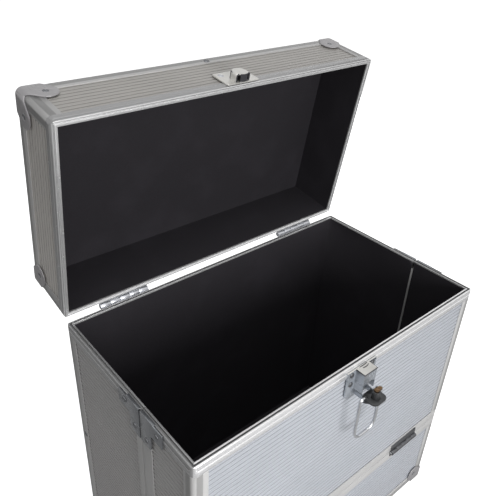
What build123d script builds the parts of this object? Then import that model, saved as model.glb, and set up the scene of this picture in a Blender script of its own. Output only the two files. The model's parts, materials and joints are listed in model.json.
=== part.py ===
from build123d import *
from math import cos, hypot, radians, sin, sqrt
import os

# Record carrying case: ribbed sheet panels held in aluminium profiles, a lid on stop hinges and a front that
# drops down on two butt hinges, closed by one draw latch with a key lock. It stands open.
# Millimetres. X runs to the right, Y to the back, Z up from the soles of the feet.

os.makedirs("parts", exist_ok=True)

# The case
case_width = 339.0
case_depth = 190.0
body_height = 281.0
lid_height = 61.0
foot_height = 8.0
lid_open_angle = 81.0
rim_gap = 0.4
parting = 0.4
seam_height = 105.0
wing_depth = 66.2
corner_radius = 5.0

# The walls, from outside to inside: profile skin, ribbed board, lining
skin = 0.9
board = 3.3
lining = 0.8
floor_pad_thickness = 2.0
rib_pitch = 4.84
groove_width = 1.5
groove_floor = 0.9
groove_depth = 0.35

# Profiles
bottom_leg = 15.0
rear_post_leg = 15.0
front_post_front_leg = 13.5
front_post_side_leg = 11.5
lid_front_leg = 13.0
lid_side_leg = 15.0
lid_post_front_leg = 13.0
lid_post_side_leg = 10.4
flap_rail_leg = 11.5
lower_rail_leg = 11.0
body_split_leg = 8.3
wing_split_leg = 13.0
rim_height = 9.8
rim_bead_height = 4.4
rim_step = 0.5
rim_chamfer = 0.5
rim_groove_start = 2.0
rim_groove_width = 1.5
rim_groove_depth = 1.8
rim_cap_thickness = 3.3
rim_lip_thickness = 1.5
lid_rim_height = 8.4
lid_bead_height = 4.8
tongue_clearance = 0.3
tongue_height = 1.3

# Corner caps and rivets
cap_thickness = 1.2
cap_edge_reach = 14.0
ear_radius = 10.0
ear_centre = 16.7
cap_hole_radius = 2.6
rivet_radius = 2.3
rivet_height = 1.5
rivet_top_ratio = 0.55
rivet_shank_radius = 1.4
bracket_rivet_radius = 2.5
bracket_rivet_height = 1.1
lid_rivet_drop = 9.1

# Feet
foot_radius = 11.0
foot_sole_radius = 9.5
foot_inset = 36.0
foot_recess_radius = 4.5
foot_recess_depth = 3.5
screw_head_radius = 3.8
screw_head_height = 2.0
screw_radius = 2.0
screw_clearance = 0.1

# Brackets beside the split
bracket_thickness = 1.0
bracket_edge_gap = 0.7
bracket_lap = 1.8
bracket_lap_thickness = 0.25
bracket_lap_length = 18.0
bracket_corner = 3.0
body_bracket_length = 30.0
wing_bracket_length = 29.5
bracket_band = 14.0
bracket_drop = 30.5
body_bracket_rivets = ((21.1, 7.0), (6.9, 23.0))
wing_bracket_rivets = ((22.3, 7.0), (7.8, 24.4))
post_rivet_height = 151.0
post_rivet_inset = 11.3

# Hinges
leaf_thickness = 1.2
hinge_clearance = 0.3
bore_clearance = 0.05
knuckle_count = 5
front_hinge_x = 106.0
front_hinge_length = 41.4
front_barrel_radius = 2.6
front_pin_radius = 1.2
front_axis_out = 1.5
flap_leaf_height = 9.6
front_body_leaf_height = 5.2
leaf_slot_height = 1.4
lid_hinge_x = 110.0
lid_hinge_length = 50.0
lid_barrel_radius = 2.5
lid_pin_radius = 1.2
lid_axis_out = 3.0
lid_leaf_height = 22.0
stop_arm_length = 7.0
stop_arm_thickness = 2.0
stop_gap = 0.05

# Draw latch; out is the distance in front of the front face
latch_x = 2.0
latch_plate_width = 36.4
latch_plate_height = 30.0
latch_plate_drop = 4.0
latch_plate_thickness = 1.2
latch_plate_corner = 7.0
latch_rivet_drops = (4.0, 14.0)
lock_box_width = 15.6
lock_box_height = 21.0
lock_box_out = 10.0
lock_box_wall = 0.8
mouth_corner = 3.0
mouth_clearance = 0.7
lever_pin_out = 13.5
lever_pin_drop = 29.3
lever_pin_radius = 1.0
lever_ear_radius = 2.2
cheek_centre = 6.2
cheek_thickness = 1.2
lever_flange_thickness = 0.7
lever_side_gap = 0.45
lever_offset = 1.5
lever_thickness = 1.4
lever_reach = 12.0
tongue_gap = 0.4
housing_room = 0.6
bail_end_gap = 0.1
lever_heel = 3.5
lever_slot_end = 2.6
lever_corner = 5.0
bail_pivot_radius = 3.75
bail_pivot_angle = 82.0
bail_wire_radius = 1.4
bail_half_width = 13.5
bail_length = 47.4
bail_top_corner = 2.4
bail_bottom_corner = 10.0
lock_reach = 5.0
lock_radius = 3.4
lock_length = 7.2
lock_face_height = 0.8
plug_radius = 2.2
keyway_width = 1.1
keyway_length = 3.2
keyway_depth = 2.5
cam_reach = 6.0
cam_half_width = 1.8
cam_thickness = 1.2

# Keeper on the lid front
keeper_width = 35.0
keeper_height = 23.0
keeper_start = 1.0
keeper_thickness = 1.0
keeper_corner = 2.0
hood_width = 15.0
hood_out = 8.0
hood_start = 3.0
hood_end = 16.0
hood_wall = 1.2
hood_edge = 2.2
edge_tolerance = 0.01
keeper_screw_x = 11.0
keeper_screw_up = 19.0
keeper_screw_radius = 2.9
keeper_screw_height = 0.5
keeper_screw_top_ratio = 0.6

# Carrying handle
handle_half_span = 57.0
handle_arm = 30.0
handle_rod_radius = 2.5
handle_axis_height = 7.2
handle_end_corner = 4.0
handle_bow_corner = 9.0
handle_ear_centre = 51.0
handle_ear_thickness = 3.0
handle_ear_radius = 4.6
handle_plate_length = 34.0
handle_plate_width = 18.0
handle_plate_thickness = 1.2
handle_plate_corner = 4.0
handle_rivet_y = 12.0
grip_length = 88.0
grip_width = 17.0
grip_thickness = 12.0

# Worked out from the sizes above
half_width = case_width / 2
half_depth = case_depth / 2
wall = skin + board
shell = wall + lining
rim_z = foot_height + body_height
rim_low = rim_z - rim_height
lid_z = rim_z + rim_gap
lid_top = lid_z + lid_height
seam_z = foot_height + seam_height
seam_low = seam_z - parting / 2
seam_high = seam_z + parting / 2
split_y = wing_depth - half_depth
split_back = split_y + parting / 2
split_front = split_y - parting / 2
panel_z = foot_height + wall
panel_top = rim_z - rim_cap_thickness
lining_top = rim_z - rim_lip_thickness
lid_axis_y = half_depth + lid_axis_out
lid_axis_z = rim_z + rim_gap / 2
front_axis_y = -half_depth - front_axis_out


# --- Building blocks -------------------------------------------------------------------------------------------

def block(low, high):
    """A box between two corners."""
    size = [b - a for a, b in zip(low, high)]
    return Pos(*low) * Box(*size, align=(Align.MIN, Align.MIN, Align.MIN))


def outline(*points):
    return make_face(Polyline(*points, close=True))


def rail(section, length):
    """A straight profile along X, its outer face at Y = 0. The section lists (inward, up)."""
    plane = Plane(origin=(-length / 2, 0, 0), x_dir=(0, 1, 0), z_dir=(1, 0, 0))
    return extrude(plane * outline(*section), amount=length)


def mitred(section, length):
    """The same profile with both ends cut at 45 degrees."""
    depth = max(point[0] for point in section)
    low = min(point[1] for point in section)
    high = max(point[1] for point in section)
    half = length / 2
    plan = outline((-half, 0), (half, 0), (half - depth, depth), (depth - half, depth))
    return rail(section, length) & extrude(Plane.XY.offset(low) * plan, amount=high - low)


def corner_cores(low, high):
    """The square cores that fill the corners between the ends of the panels."""
    return [Pos(x * (half_width - wall / 2), y * (half_depth - wall / 2), low)
            * Box(wall, wall, high - low, align=(Align.CENTER, Align.CENTER, Align.MIN))
            for x in (-1, 1) for y in (-1, 1)]


def ring(section, side_section):
    """Four mitred profiles round the case, with another section on the two sides."""
    sides = []
    for quarter in range(4):
        on_side = quarter % 2 == 1
        length = case_depth if on_side else case_width
        reach = half_width if on_side else half_depth
        profile = mitred(side_section if on_side else section, length)
        sides.append(Rot(0, 0, 90 * quarter) * Pos(0, -reach, 0) * profile)
    return sides[0] + sides[1:]


def rounded_case(low, high, rounded_end):
    """The outer shape of the body or the lid, with its upright and its bottom or top edges rounded."""
    box = block((-half_width, -half_depth, low), (half_width, half_depth, high))
    edges = box.edges().sort_by(Axis.Z)
    picked = edges[:-4] if rounded_end == "bottom" else edges[4:]
    return fillet(picked, corner_radius)


def angle_section(first_leg, second_leg):
    """Two thin legs over the panels and a square core that the panel edges butt against."""
    return [(0, 0), (first_leg, 0), (first_leg, skin), (wall, skin), (wall, wall), (skin, wall),
            (skin, second_leg), (0, second_leg)]


def channel_section(leg):
    """An angle that closes a panel edge, its web at the bottom reaching over the lining's edge."""
    return [(0, 0), (shell, 0), (shell, skin), (skin, skin), (skin, leg), (0, leg)]


def ribbed_sheet(width, height):
    """A panel standing on Z = 0 with its outer face at Y = 0 and level grooves between flat ribs."""
    count = int(height / rib_pitch) - 1
    first = (height - (count - 1) * rib_pitch) / 2
    section = [(0, 0)]
    for index in range(count):
        middle = first + index * rib_pitch
        section.append((0, middle - groove_width / 2))
        section.append((groove_depth, middle - groove_floor / 2))
        section.append((groove_depth, middle + groove_floor / 2))
        section.append((0, middle + groove_width / 2))
    section += [(0, height), (board, height), (board, 0)]
    return rail(section, width)


def both_sides(piece):
    """A piece of the right side and its mirror image on the left."""
    return Compound([piece, mirror(piece, about=Plane.YZ)])


def at_corners(piece):
    """A piece modelled at the front left corner, once at each of the four corners."""
    front_left = Pos(-half_width, -half_depth, 0) * piece
    front_right = mirror(front_left, about=Plane.YZ)
    rear = [mirror(corner, about=Plane.XZ) for corner in (front_left, front_right)]
    return Compound([front_left, front_right, *rear])


def rivet(radius, height, shank_radius=0, shank=0):
    """A low domed head on Z = 0, with a shank below where it passes through a cap."""
    rise = height / 2
    head = Cylinder(radius, rise, align=(Align.CENTER, Align.CENTER, Align.MIN))
    head += Pos(0, 0, rise) * Cone(radius, radius * rivet_top_ratio, rise, align=(Align.CENTER, Align.CENTER, Align.MIN))
    if shank > 0:
        head += Cylinder(shank_radius, shank, align=(Align.CENTER, Align.CENTER, Align.MAX))
    return head


def facing(origin, direction, piece):
    """A piece modelled on Z = 0, set on a face that looks along a direction."""
    return Plane(origin=origin, z_dir=direction).location * piece


# --- Panels, profiles and linings ------------------------------------------------------------------------------

body_shape = rounded_case(foot_height, rim_z, "bottom")
lid_shape = rounded_case(lid_z, lid_top, "top")
inner_width = case_width - 2 * wall
inner_depth = case_depth - 2 * wall
behind_split = block((-half_width, split_back, 0), (half_width, half_depth, lid_top))
before_split = block((-half_width, -half_depth, 0), (half_width, split_front, lid_top))


def front_hinge_relief():
    """The room that the front hinge barrels and their leaves need in the rails."""
    radius = front_barrel_radius + hinge_clearance
    length = front_hinge_length + 2 * hinge_clearance
    barrel = Pos(front_hinge_x, front_axis_y, seam_z) * Rot(0, 90, 0) * Cylinder(radius, length)
    relief = [barrel]
    for edge in (seam_z + flap_leaf_height, seam_z - front_body_leaf_height - leaf_slot_height):
        low = (front_hinge_x - front_hinge_length / 2, -half_depth - skin, edge)
        high = (front_hinge_x + front_hinge_length / 2, -half_depth + skin, edge + leaf_slot_height)
        relief.append(block(low, high))
    right = relief[0] + relief[1:]
    return right + mirror(right, about=Plane.YZ)


def side_panel(low_y, high_y, low_z, high_z):
    """A ribbed panel in the right wall."""
    sheet = Rot(0, 0, 90) * ribbed_sheet(high_y - low_y, high_z - low_z)
    return Pos(half_width - skin, (low_y + high_y) / 2, low_z) * sheet


def cross_panel(width, low_z, high_z):
    """A ribbed panel in the front wall."""
    return Pos(0, skin - half_depth, low_z) * ribbed_sheet(width, high_z - low_z)


def post(front_leg, side_leg, low_z, high_z):
    """The left front corner post, its corner at X = Y = 0."""
    return extrude(Plane.XY.offset(low_z) * outline(*angle_section(front_leg, side_leg)), amount=high_z - low_z)


def front_posts(front_leg, side_leg, low_z, high_z, shape):
    left = Pos(-half_width, -half_depth, 0) * post(front_leg, side_leg, low_z, high_z)
    return both_sides(mirror(left & shape, about=Plane.YZ))


def rear_posts(leg, low_z, high_z, shape):
    left = mirror(Pos(-half_width, -half_depth, 0) * post(leg, leg, low_z, high_z), about=Plane.XZ)
    return both_sides(mirror(left & shape, about=Plane.YZ))


def split_channel(leg, start_y, direction, low_z):
    """The channel that closes a side wall at the split, on the right side."""
    points = [(half_width - inward, start_y + direction * along) for inward, along in channel_section(leg)]
    return extrude(Plane.XY.offset(low_z) * outline(*points), amount=rim_low - low_z)


def rim_section():
    """The rim of the body and the drop front: a bead below, a step, and a groove for the lid's tongue."""
    shoulder = rim_height - rim_chamfer
    groove_end = rim_groove_start + rim_groove_width
    channel_top = rim_height - rim_cap_thickness
    return [(0, 0), (0, rim_bead_height), (rim_step, rim_bead_height + rim_step), (rim_step, shoulder),
            (rim_step + rim_chamfer, rim_height), (rim_groove_start, rim_height),
            (rim_groove_start, rim_height - rim_groove_depth), (groove_end, rim_height - rim_groove_depth),
            (groove_end, rim_height), (shell, rim_height), (shell, rim_height - rim_lip_thickness),
            (wall, rim_height - rim_lip_thickness), (wall, channel_top), (skin, channel_top), (skin, 0)]


def lid_rim_section():
    """The rim of the lid: its tongue drops into the groove of the body rim."""
    tongue_start = rim_groove_start + tongue_clearance
    tongue_end = rim_groove_start + rim_groove_width - tongue_clearance
    step_low = lid_rim_height - lid_bead_height
    return [(0, lid_rim_height), (0, step_low), (rim_step, step_low - rim_step), (rim_step, rim_chamfer),
            (rim_step + rim_chamfer, 0), (tongue_start, 0), (tongue_start, -tongue_height),
            (tongue_end, -tongue_height), (tongue_end, 0), (shell, 0), (shell, rim_lip_thickness),
            (wall, rim_lip_thickness), (wall, rim_cap_thickness), (skin, rim_cap_thickness), (skin, lid_rim_height)]


def body_rim_ring():
    """The rim of the body and the drop front in one, on Z = 0."""
    return ring(rim_section(), rim_section()) + corner_cores(0, rim_height - rim_cap_thickness)


def body_panels():
    step_y = split_back + skin
    step_z = seam_low - skin
    right = side_panel(wall - half_depth, half_depth - wall, panel_z, panel_top)
    right -= block((0, -half_depth, step_z), (case_width, step_y, rim_z))
    low_corner = (-inner_width / 2, -inner_depth / 2, foot_height + skin)
    high_corner = (inner_width / 2, inner_depth / 2, panel_z)
    return {
        "floor_panel": block(low_corner, high_corner),
        "back_panel": Rot(0, 0, 180) * cross_panel(inner_width, panel_z, panel_top),
        "right_side_panel": right,
        "left_side_panel": mirror(right, about=Plane.YZ),
        "lower_front_panel": cross_panel(inner_width, panel_z, step_z) - front_hinge_relief(),
    }


def body_profiles(right_panel):
    bottom = ring(angle_section(bottom_leg, bottom_leg), angle_section(bottom_leg, bottom_leg))
    posts_low = foot_height + bottom_leg
    section = channel_section(lower_rail_leg)
    rails = ring(section, section)
    top_rail = Pos(0, 0, seam_low) * mirror(rails, about=Plane.XY)
    top_rail = top_rail & body_shape & (before_split + block((-half_width, split_front, 0),
                                                             (half_width, split_back, lid_top)))
    rim = Pos(0, 0, rim_low) * body_rim_ring()
    split = split_channel(body_split_leg, split_back, 1, seam_low - lower_rail_leg) - right_panel
    return {
        "bottom_edge_frame": (Pos(0, 0, foot_height) * bottom) & body_shape,
        "rear_corner_posts": rear_posts(rear_post_leg, posts_low, rim_low, body_shape),
        "lower_front_posts": front_posts(front_post_front_leg, front_post_side_leg, posts_low,
                                         seam_low - lower_rail_leg, body_shape),
        "lower_front_top_rail": top_rail - front_hinge_relief(),
        "split_edge_profiles": both_sides(split),
        "body_rim": rim & body_shape & behind_split,
    }


def body_linings():
    walls = block((wall - half_width, wall - half_depth, panel_z), (half_width - wall, half_depth - wall, lining_top))
    walls -= block((shell - half_width, shell - half_depth, 0), (half_width - shell, half_depth - shell, rim_z))
    walls -= block((-half_width, -half_depth, seam_low - skin), (half_width, split_back + skin, rim_z))
    walls -= block((-half_width, split_back, seam_low - lower_rail_leg), (half_width, split_back + skin, rim_z))
    pad = block((shell - half_width, shell - half_depth, panel_z),
                (half_width - shell, half_depth - shell, panel_z + floor_pad_thickness))
    return {"body_lining": walls, "floor_pad": pad}


def flap_panels():
    low = seam_high + skin
    wing = side_panel(wall - half_depth, split_front - skin, low, panel_top)
    return {
        "flap_front_panel": cross_panel(inner_width, low, panel_top) - front_hinge_relief(),
        "right_wing_panel": wing,
        "left_wing_panel": mirror(wing, about=Plane.YZ),
    }


def flap_profiles():
    section = channel_section(flap_rail_leg)
    before_wing_edge = block((-half_width, -half_depth, 0), (half_width, split_front - wing_split_leg, rim_z))
    rails = ring(section, section)
    bottom = (Pos(0, 0, seam_high) * rails) & body_shape & before_wing_edge
    rim = Pos(0, 0, rim_low) * body_rim_ring()
    return {
        "flap_bottom_rail": bottom - front_hinge_relief(),
        "flap_front_posts": front_posts(front_post_front_leg, front_post_side_leg, seam_high + flap_rail_leg,
                                        rim_low, body_shape),
        "wing_edge_profiles": both_sides(split_channel(wing_split_leg, split_front, -1, seam_high)),
        "flap_rim": rim & body_shape & before_split,
    }


def flap_lining():
    low = seam_high + skin
    end = split_front - skin
    cloth = block((wall - half_width, wall - half_depth, low), (half_width - wall, end, lining_top))
    return cloth - block((shell - half_width, shell - half_depth, 0), (half_width - shell, half_depth, rim_z))


def lid_panels():
    low = lid_z + rim_cap_thickness
    high = lid_top - wall
    front = cross_panel(inner_width, low, high)
    right = side_panel(wall - half_depth, half_depth - wall, low, high)
    top = Rot(-90, 0, 0) * ribbed_sheet(inner_width, inner_depth)
    return {
        "lid_front_panel": front,
        "lid_back_panel": Rot(0, 0, 180) * front,
        "lid_right_panel": right,
        "lid_left_panel": mirror(right, about=Plane.YZ),
        "lid_top_panel": Pos(0, -inner_depth / 2, lid_top - skin) * top,
    }


def lid_profiles():
    top = mirror(ring(angle_section(bottom_leg, lid_front_leg), angle_section(bottom_leg, lid_side_leg)),
                 about=Plane.XY)
    low = lid_z + lid_rim_height
    front = front_posts(lid_post_front_leg, lid_post_side_leg, low, lid_top - lid_front_leg, lid_shape)
    rear = rear_posts(rear_post_leg, low, lid_top - lid_front_leg, lid_shape)
    above = block((-half_width, -half_depth, lid_top - lid_side_leg), (half_width, half_depth, lid_top))
    sides = above - block((wall - half_width, -half_depth, lid_z), (half_width - wall, half_depth, lid_top))
    deeper = block((-half_width, -half_depth, lid_z - tongue_height), (half_width, half_depth, lid_top))
    rounding = fillet(deeper.edges().filter_by(Axis.Z), corner_radius)
    frame = (Pos(0, 0, lid_top) * top) & lid_shape
    rim = ring(lid_rim_section(), lid_rim_section()) + corner_cores(rim_cap_thickness, lid_rim_height)
    posts = Compound([solid - (frame & sides) for solid in (*front.solids(), *rear.solids())])
    return {
        "lid_edge_frame": frame,
        "lid_corner_posts": posts,
        "lid_rim": (Pos(0, 0, lid_z) * rim) & rounding,
    }


def lid_lining():
    cloth = block((wall - half_width, wall - half_depth, lid_z + rim_lip_thickness),
                  (half_width - wall, half_depth - wall, lid_top - wall))
    return cloth - block((shell - half_width, shell - half_depth, lid_z),
                         (half_width - shell, half_depth - shell, lid_top - shell))


# --- Corner caps, feet, brackets and rivets --------------------------------------------------------------------

def corner_block(extra):
    """A block that fills the case corner at the origin, grown outwards by extra."""
    span = ear_centre + ear_radius + corner_radius
    box = block((-extra, -extra, -extra), (span, span, span))
    edges = box.edges().sort_by_distance((-extra, -extra, -extra))[:3]
    return fillet(edges, corner_radius + extra)


def corner_cap():
    """A pressed ball corner with a round ear on each of its three faces."""
    reach = cap_edge_reach
    low = -cap_thickness
    corner = Polyline((low, low), (reach, low), (low, reach), close=True)
    ear = make_hull([*corner.edges(), *(Pos(ear_centre, ear_centre) * Circle(ear_radius)).edges()])
    hole = Pos(ear_centre, ear_centre) * Circle(cap_hole_radius)
    ears = []
    holes = []
    for plane in (Plane.XY, Plane.YZ, Plane.ZX):
        ears.append(extrude(plane.offset(low) * ear, amount=corner_radius + cap_thickness))
        holes.append(extrude(plane.offset(low) * hole, amount=2 * cap_thickness))
    cap = corner_block(cap_thickness) - corner_block(0)
    return (cap & (ears[0] + ears[1:])) - holes


def cap_rivets():
    """The three rivets of the cap whose corner is at the origin."""
    places = (((ear_centre, ear_centre, 0), (0, 0, -1)), ((0, ear_centre, ear_centre), (-1, 0, 0)),
              ((ear_centre, 0, ear_centre), (0, -1, 0)))
    piece = rivet(rivet_radius, rivet_height, rivet_shank_radius, skin)
    return Compound([facing(place, direction, piece) for place, direction in places])


def feet():
    height = foot_height + skin
    foot = Cone(foot_sole_radius, foot_radius, height, align=(Align.CENTER, Align.CENTER, Align.MIN))
    foot -= Cylinder(foot_recess_radius, foot_recess_depth, align=(Align.CENTER, Align.CENTER, Align.MIN))
    foot -= Cylinder(screw_radius + screw_clearance, height, align=(Align.CENTER, Align.CENTER, Align.MIN))
    return at_corners(Pos(foot_inset, foot_inset, 0) * foot)


def foot_screws():
    head_low = foot_recess_depth - screw_head_height
    head = Pos(0, 0, head_low) * Cylinder(screw_head_radius, screw_head_height,
                                          align=(Align.CENTER, Align.CENTER, Align.MIN))
    shank = Pos(0, 0, foot_recess_depth) * Cylinder(screw_radius, foot_height + skin - foot_recess_depth,
                                                    align=(Align.CENTER, Align.CENTER, Align.MIN))
    return at_corners(Pos(foot_inset, foot_inset, 0) * (head + shank))


def split_brackets(start_y, direction, length):
    """A flat L plate over the rim and the edge profile, beside the split, lapped over the rim, on both sides."""
    points = [(0, 0), (length, 0), (length, bracket_band), (bracket_band, bracket_band),
              (bracket_band, bracket_drop), (0, bracket_drop)]
    plate = outline(*[(start_y + direction * along, rim_z - down) for along, down in points])
    plate = fillet(plate.vertices().sort_by(Axis.Y)[-1 if direction > 0 else 0], bracket_corner)
    right = extrude(Plane.YZ.offset(half_width) * plate, amount=bracket_thickness)
    ends = sorted((start_y, start_y + direction * bracket_lap_length))
    right += block((half_width - bracket_lap, ends[0], rim_z),
                   (half_width + bracket_thickness, ends[1], rim_z + bracket_lap_thickness))
    return both_sides(right)


def bracket_rivets(start_y, direction, places):
    """The rivets of one pair of brackets, each place given as (along, down) from the bracket's corner."""
    piece = rivet(bracket_rivet_radius, bracket_rivet_height)
    rivets = []
    for along, down in places:
        place = (half_width + bracket_thickness, start_y + direction * along, rim_z - down)
        rivets.append(facing(place, (1, 0, 0), piece))
    return both_sides(Compound(rivets))


def body_rivets():
    caps = at_corners(Pos(0, 0, foot_height) * cap_rivets())
    brackets = bracket_rivets(split_back + bracket_edge_gap, 1, body_bracket_rivets)
    place = (half_width, half_depth - post_rivet_inset, foot_height + post_rivet_height)
    posts = both_sides(facing(place, (1, 0, 0), rivet(bracket_rivet_radius, bracket_rivet_height)))
    return Compound([caps, brackets, posts])


def lid_rivets():
    caps = at_corners(Pos(0, 0, lid_top) * mirror(cap_rivets(), about=Plane.XY))
    place = (0, -half_depth, lid_top - lid_rivet_drop)
    return Compound([caps, facing(place, (0, -1, 0), rivet(bracket_rivet_radius, bracket_rivet_height))])


# --- Hinges ----------------------------------------------------------------------------------------------------

def knuckles(length, radius, first, axis_y, axis_z):
    """Every second knuckle of a hinge barrel along X, beginning with the first or the second."""
    pitch = length / knuckle_count
    pieces = []
    for index in range(first, knuckle_count, 2):
        middle = (index + 0.5) * pitch - length / 2
        barrel = Rot(0, 90, 0) * Cylinder(radius, pitch - hinge_clearance)
        pieces.append(Pos(middle, axis_y, axis_z) * barrel)
    return pieces


def gaps(length, radius, first, axis_y, axis_z):
    """The room for the other leaf's knuckles."""
    pitch = length / knuckle_count
    pieces = []
    for index in range(1 - first, knuckle_count, 2):
        middle = (index + 0.5) * pitch - length / 2
        room = Rot(0, 90, 0) * Cylinder(radius + hinge_clearance, pitch + hinge_clearance)
        pieces.append(Pos(middle, axis_y, axis_z) * room)
    return pieces


def hinge_leaf(plate, length, radius, pin_radius, first, axis_y, axis_z):
    leaf = plate + knuckles(length, radius, first, axis_y, axis_z)
    bore = Pos(0, axis_y, axis_z) * Rot(0, 90, 0) * Cylinder(pin_radius + bore_clearance, length)
    return leaf - gaps(length, radius, first, axis_y, axis_z) - bore


def hinge_pins(x, length, pin_radius, axis_y, axis_z):
    pin = Pos(x, axis_y, axis_z) * Rot(0, 90, 0) * Cylinder(pin_radius, length)
    return both_sides(pin)


def front_hinge_leaf(first, low_z, high_z):
    """One leaf of the front hinges, flat on the rail; the barrel stands in the parting."""
    half = front_hinge_length / 2
    plate = block((-half, -half_depth - leaf_thickness, low_z), (half, -half_depth, high_z))
    leaf = hinge_leaf(plate, front_hinge_length, front_barrel_radius, front_pin_radius, first,
                      front_axis_y, seam_z)
    return both_sides(Pos(front_hinge_x, 0, 0) * leaf)


def stop_arm():
    """The arm that lands on the stop of the body leaf when the lid stands open, drawn in the closed lid."""
    pitch = lid_hinge_length / knuckle_count
    half = pitch / 2 - hinge_clearance
    arm = block((-half, 0, -stop_arm_thickness / 2), (half, stop_arm_length, stop_arm_thickness / 2))
    arm = Rot(lid_open_angle, 0, 0) * arm
    return [Pos(side * pitch, lid_axis_y, lid_axis_z) * arm for side in (-1, 1)]


def stop_gusset():
    """The folded gussets below the arms, on the body leaf."""
    pitch = lid_hinge_length / knuckle_count
    half = pitch / 2 - hinge_clearance
    clear = lid_barrel_radius + hinge_clearance
    pad_z = lid_axis_z - stop_arm_thickness / 2 - stop_gap
    back = half_depth + leaf_thickness / 2
    tip = lid_axis_y + stop_arm_length
    low = lid_axis_z - clear - stop_arm_length
    points = [(back, low), (back, lid_axis_z - clear - hinge_clearance),
              (lid_axis_y + clear, lid_axis_z - clear - hinge_clearance), (lid_axis_y + clear, pad_z),
              (tip, pad_z), (tip, pad_z - stop_arm_thickness), (back + leaf_thickness, low)]
    gusset = extrude(Plane.YZ.offset(-half) * outline(*points), amount=2 * half)
    return [Pos(side * pitch, 0, 0) * gusset for side in (-1, 1)]


def lid_hinge_body_leaf():
    half = lid_hinge_length / 2
    plate = block((-half, half_depth, lid_axis_z - lid_leaf_height), (half, half_depth + leaf_thickness, lid_axis_z))
    leaf = hinge_leaf(plate, lid_hinge_length, lid_barrel_radius, lid_pin_radius, 0, lid_axis_y, lid_axis_z)
    return both_sides(Pos(lid_hinge_x, 0, 0) * (leaf + stop_gusset()))


def lid_hinge_lid_leaf():
    half = lid_hinge_length / 2
    plate = block((-half, half_depth, lid_axis_z), (half, half_depth + leaf_thickness, lid_axis_z + lid_leaf_height))
    plate += stop_arm()
    leaf = hinge_leaf(plate, lid_hinge_length, lid_barrel_radius, lid_pin_radius, 1, lid_axis_y, lid_axis_z)
    return both_sides(Pos(lid_hinge_x, 0, 0) * leaf)


# --- Draw latch ------------------------------------------------------------------------------------------------
# Profiles across X are drawn as (out, up): out from the front face, up from the soles, with the lever open.

pin_up = rim_z - lever_pin_drop
bail_out = lever_pin_out + bail_pivot_radius * cos(radians(bail_pivot_angle))
bail_up = pin_up + bail_pivot_radius * sin(radians(bail_pivot_angle))
lever_half = lock_box_width / 2 + lever_side_gap / 2 + lever_flange_thickness
plate_top = rim_z - latch_plate_drop
box_low = plate_top - lock_box_height


def across(face, low_x, high_x):
    """A face drawn as (out, up), thickened across the latch from low_x to high_x beside its middle."""
    plane = Plane(origin=(latch_x + high_x, -half_depth, 0), x_dir=(0, -1, 0), z_dir=(-1, 0, 0))
    return extrude(plane * face, amount=high_x - low_x)


def disc(radius, out, up):
    return Pos(out, up) * Circle(radius)


def hull(*shapes):
    return make_hull([edge for shape in shapes for edge in shape.edges()])


def latch_block(low_x, high_x, low_out, high_out, low_up, high_up):
    return block((latch_x + low_x, -half_depth - high_out, low_up), (latch_x + high_x, -half_depth - low_out, high_up))


def on_front(out, piece):
    """A piece modelled on Z = 0 about the latch's middle, turned to stand out from the front face."""
    plane = Plane(origin=(latch_x, -half_depth - out, 0), x_dir=(1, 0, 0), z_dir=(0, -1, 0))
    return plane.location * piece


def latch_base():
    """Plate, lock box with a mouth for the lock, two cheeks for the lever pin, and the bar the cam locks behind."""
    plate = Rectangle(latch_plate_width, latch_plate_height)
    plate = fillet(plate.vertices().sort_by(Axis.Y)[:2], latch_plate_corner)
    base = on_front(0, Pos(0, plate_top - latch_plate_height / 2, 0) * extrude(plate, amount=latch_plate_thickness))
    half = lock_box_width / 2
    inner = half - lock_box_wall
    base += latch_block(-half, half, 0, lock_box_out, box_low, plate_top)
    base -= latch_block(-inner, inner, latch_plate_thickness, lock_box_out - lock_box_wall, 0,
                        plate_top - lock_box_wall)
    swing = hypot(lock_reach + lock_radius, lever_offset + lever_thickness + lock_length)
    mouth_top = pin_up + sqrt(swing ** 2 - (lever_pin_out - lock_box_out) ** 2) + mouth_clearance
    mouth = latch_block(-inner, inner, lock_box_out - lock_box_wall, lock_box_out, box_low, mouth_top)
    base -= fillet(mouth.edges().filter_by(Axis.Y).sort_by(Axis.Z)[-2:], mouth_corner)
    root_low = pin_up - lever_ear_radius
    root = Polyline((0, root_low), (latch_plate_thickness, root_low),
                    (latch_plate_thickness, pin_up + lever_ear_radius), (0, pin_up + lever_ear_radius), close=True)
    cheek = hull(root, disc(lever_ear_radius, lever_pin_out, pin_up))
    cheek -= disc(lever_pin_radius + bore_clearance, lever_pin_out, pin_up)
    for side in (-1, 1):
        base += across(cheek, side * cheek_centre - cheek_thickness / 2, side * cheek_centre + cheek_thickness / 2)
    back = lever_pin_out - lever_offset - lever_thickness - lock_length
    bar_top = pin_up + lock_reach - lock_radius - housing_room
    base += latch_block(-cheek_centre, cheek_centre, back + hinge_clearance, back + hinge_clearance + cam_thickness,
                        bar_top - 2 * cam_thickness, bar_top)
    return base


def latch_rivets():
    piece = rivet(bracket_rivet_radius, bracket_rivet_height)
    spread = (latch_plate_width + lock_box_width) / 4
    places = [(side * spread, plate_top - drop) for side in (-1, 1) for drop in latch_rivet_drops]
    return Compound([on_front(latch_plate_thickness, Pos(x, up, 0) * piece) for x, up in places])


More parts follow.
